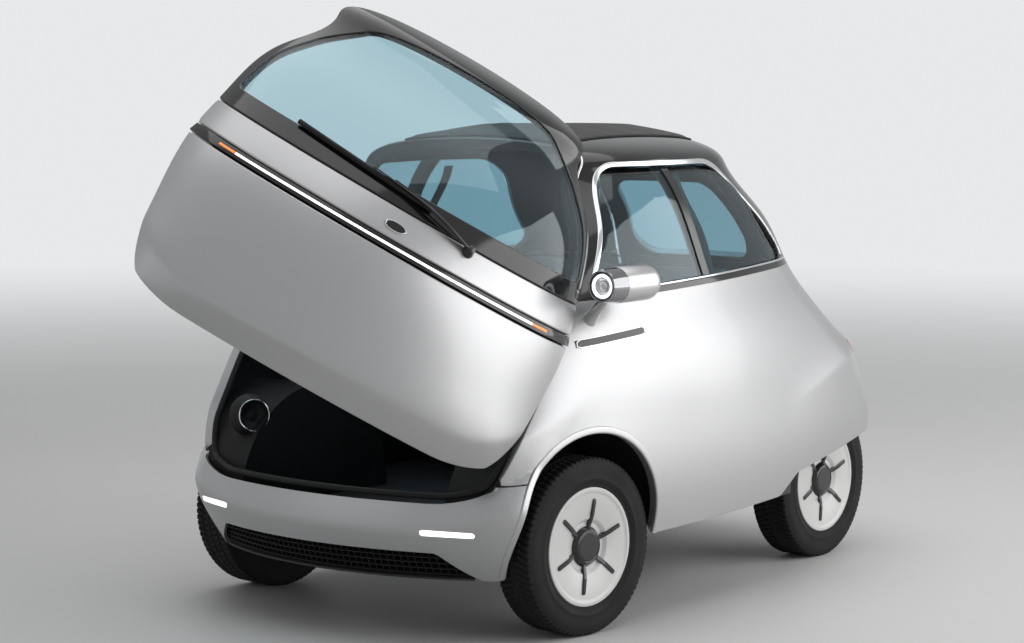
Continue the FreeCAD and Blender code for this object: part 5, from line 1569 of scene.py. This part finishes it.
# footwell speakers, each with a bright ring
speaker = {
    "x": 0.463, "y": -0.260, "z": 0.590, "facing": (-1, -0.45, 0.10),
    "horn": [(0.0, 0.067), (0.010, 0.066), (0.038, 0.053), (0.0435, 0.049), (0.0420, 0.045), (0.030, 0.040),
             (0.020, 0.020), (0.026, 0.012), (0.028, 0.0)],
    "ring": [(0.0415, 0.0518), (0.0440, 0.0510), (0.0448, 0.0495), (0.0440, 0.0480), (0.0415, 0.0472)],
}
for name, side in sides.items():
    inwards, ahead, upwards = speaker["facing"]
    place = axisPlace((side * speaker["x"], speaker["y"], speaker["z"]), (side * inwards, ahead, upwards))
    horn = turnedMesh("speakerHorn_" + name, speaker["horn"], place, 72)
    finish(horn, darkPlastic, "body", ["footwell_speakers"])
    brightRing = turnedMesh("speakerRing_" + name, speaker["ring"], place, 72, True)
    finish(brightRing, brightTrim, "body", ["footwell_speakers"])
print("speakers made")

# finishes of the CAD nodes that are shown as they are
nodeFinish = {
    "window_posts": blackGloss, "side_windows": glass, "rear_valance": darkPlastic,
    "floor_pan": chassisPaint, "boot_floor": chassisPaint, "wheelhouse_left": darkPlastic,
    "wheelhouse_right": darkPlastic, "battery_box": darkPlastic, "steering_column": moulded,
    "belt_reels": darkPlastic, "front_subframe": chassisPaint, "front_suspension": chassisPaint,
    "rear_axle": chassisPaint, "drive_motor": castMetal, "door_lining": moulded,
    "front_left_knuckle": castMetal, "front_right_knuckle": castMetal,
}
for name, material in nodeFinish.items():
    node = frame["nodes"][name]
    if not node.material_slots:
        node.data.materials.append(material)
    for slot in node.material_slots:
        slot.material = material
shown = [name for name, node in frame["nodes"].items() if not node.hide_render and name not in nodeFinish]
print("nodes without a finish:", shown)

# floor that fades into the backdrop
backdrop = {"color": (0.80, 0.81, 0.82), "light": 0.29, "shown": 1.0, "mirrored": 0.55}
ground = {"size": 160, "color": (0.78, 0.78, 0.77), "fadeFrom": 3.0, "fadeTo": 16.0}
floorMaterial = surface("paleFloor", ground["color"], (0.48, 0.58), patch=0.97, scale=0.8, grain=300.0,
                        depth=0.02)
bpy.ops.mesh.primitive_plane_add(size=ground["size"], location=(0, 0, 0))
floor = bpy.context.object
floor.name = "studioFloor"
floor.data.materials.append(floorMaterial)
floorTree = floorMaterial.node_tree
spot = floorTree.nodes.new("ShaderNodeVectorMath")
spot.operation = "LENGTH"
floorTree.links.new(floorTree.nodes.new("ShaderNodeTexCoord").outputs["Object"], spot.inputs[0])
fade = floorTree.nodes.new("ShaderNodeMapRange")
fade.interpolation_type = "SMOOTHSTEP"
fade.inputs["From Min"].default_value = ground["fadeFrom"]
fade.inputs["From Max"].default_value = ground["fadeTo"]
floorTree.links.new(spot.outputs["Value"], fade.inputs["Value"])
farGlow = floorTree.nodes.new("ShaderNodeEmission")
farGlow.inputs["Color"].default_value = (*backdrop["color"], 1)
blendIn = floorTree.nodes.new("ShaderNodeMixShader")
floorTree.links.new(fade.outputs["Result"], blendIn.inputs["Fac"])
floorTree.links.new(floorTree.nodes["Principled BSDF"].outputs["BSDF"], blendIn.inputs[1])
floorTree.links.new(farGlow.outputs["Emission"], blendIn.inputs[2])
floorTree.links.new(blendIn.outputs["Shader"], floorTree.nodes["Material Output"].inputs["Surface"])

# the backdrop is brighter to the camera and through glass than the light it gives
world = bpy.data.worlds.new("studioWorld")
bpy.context.scene.world = world
world.use_nodes = True
worldTree = world.node_tree
background = worldTree.nodes["Background"]
background.inputs["Color"].default_value = (*backdrop["color"], 1)
rays = worldTree.nodes.new("ShaderNodeLightPath")
mirrored = mathNode(worldTree, "MULTIPLY", rays.outputs["Is Glossy Ray"], backdrop["mirrored"])
seen = mathNode(worldTree, "MAXIMUM", rays.outputs["Is Camera Ray"], mirrored)
seen = mathNode(worldTree, "MAXIMUM", seen, rays.outputs["Is Transmission Ray"])
extra = mathNode(worldTree, "MULTIPLY", seen, backdrop["shown"] - backdrop["light"])
strength = mathNode(worldTree, "ADD", extra, backdrop["light"])
worldTree.links.new(strength, background.inputs["Strength"])

# place, target, width, height and power of each soft light
lights = {
    "sideWindows": ((6.2, 4.0, 2.6), (0, 0.8, 0.6), 10.0, 5.5, 400),
    "ceilingGlow": ((0.0, 0.8, 5.5), (0, 0.6, 0.5), 6.0, 6.0, 120),
    "frontFill": ((-3.0, -6.0, 2.5), (0, 0, 0.8), 4.0, 3.0, 10),
}
for name, (spotAt, target, width, height, power) in lights.items():
    lamp = bpy.data.lights.new(name, "AREA")
    lamp.shape = "RECTANGLE"
    lamp.size, lamp.size_y, lamp.energy = width, height, power
    holder = bpy.data.objects.new(name, lamp)
    bpy.context.collection.objects.link(holder)
    holder.location = spotAt
    holder.rotation_euler = (Vector(target) - Vector(spotAt)).to_track_quat("-Z", "Y").to_euler()

view = {
    "lens": 92.28, "sensor": 36, "place": (5.2072, -6.1995, 1.6469),
    "right": (0.78858732, 0.61490656, 0.00446711), "up": (-0.06035411, 0.07016766, 0.99570773),
    "back": (0.61195377, -0.7854721, 0.09244546),
}
camera = bpy.data.cameras.new("mainCamera")
camera.lens, camera.sensor_width = view["lens"], view["sensor"]
cameraHolder = bpy.data.objects.new("mainCamera", camera)
bpy.context.collection.objects.link(cameraHolder)
axes = Matrix([view["right"], view["up"], view["back"]]).transposed().to_4x4()
cameraHolder.matrix_world = Matrix.Translation(view["place"]) @ axes
bpy.context.scene.camera = cameraHolder
bpy.context.scene.view_settings.view_transform = "Standard"
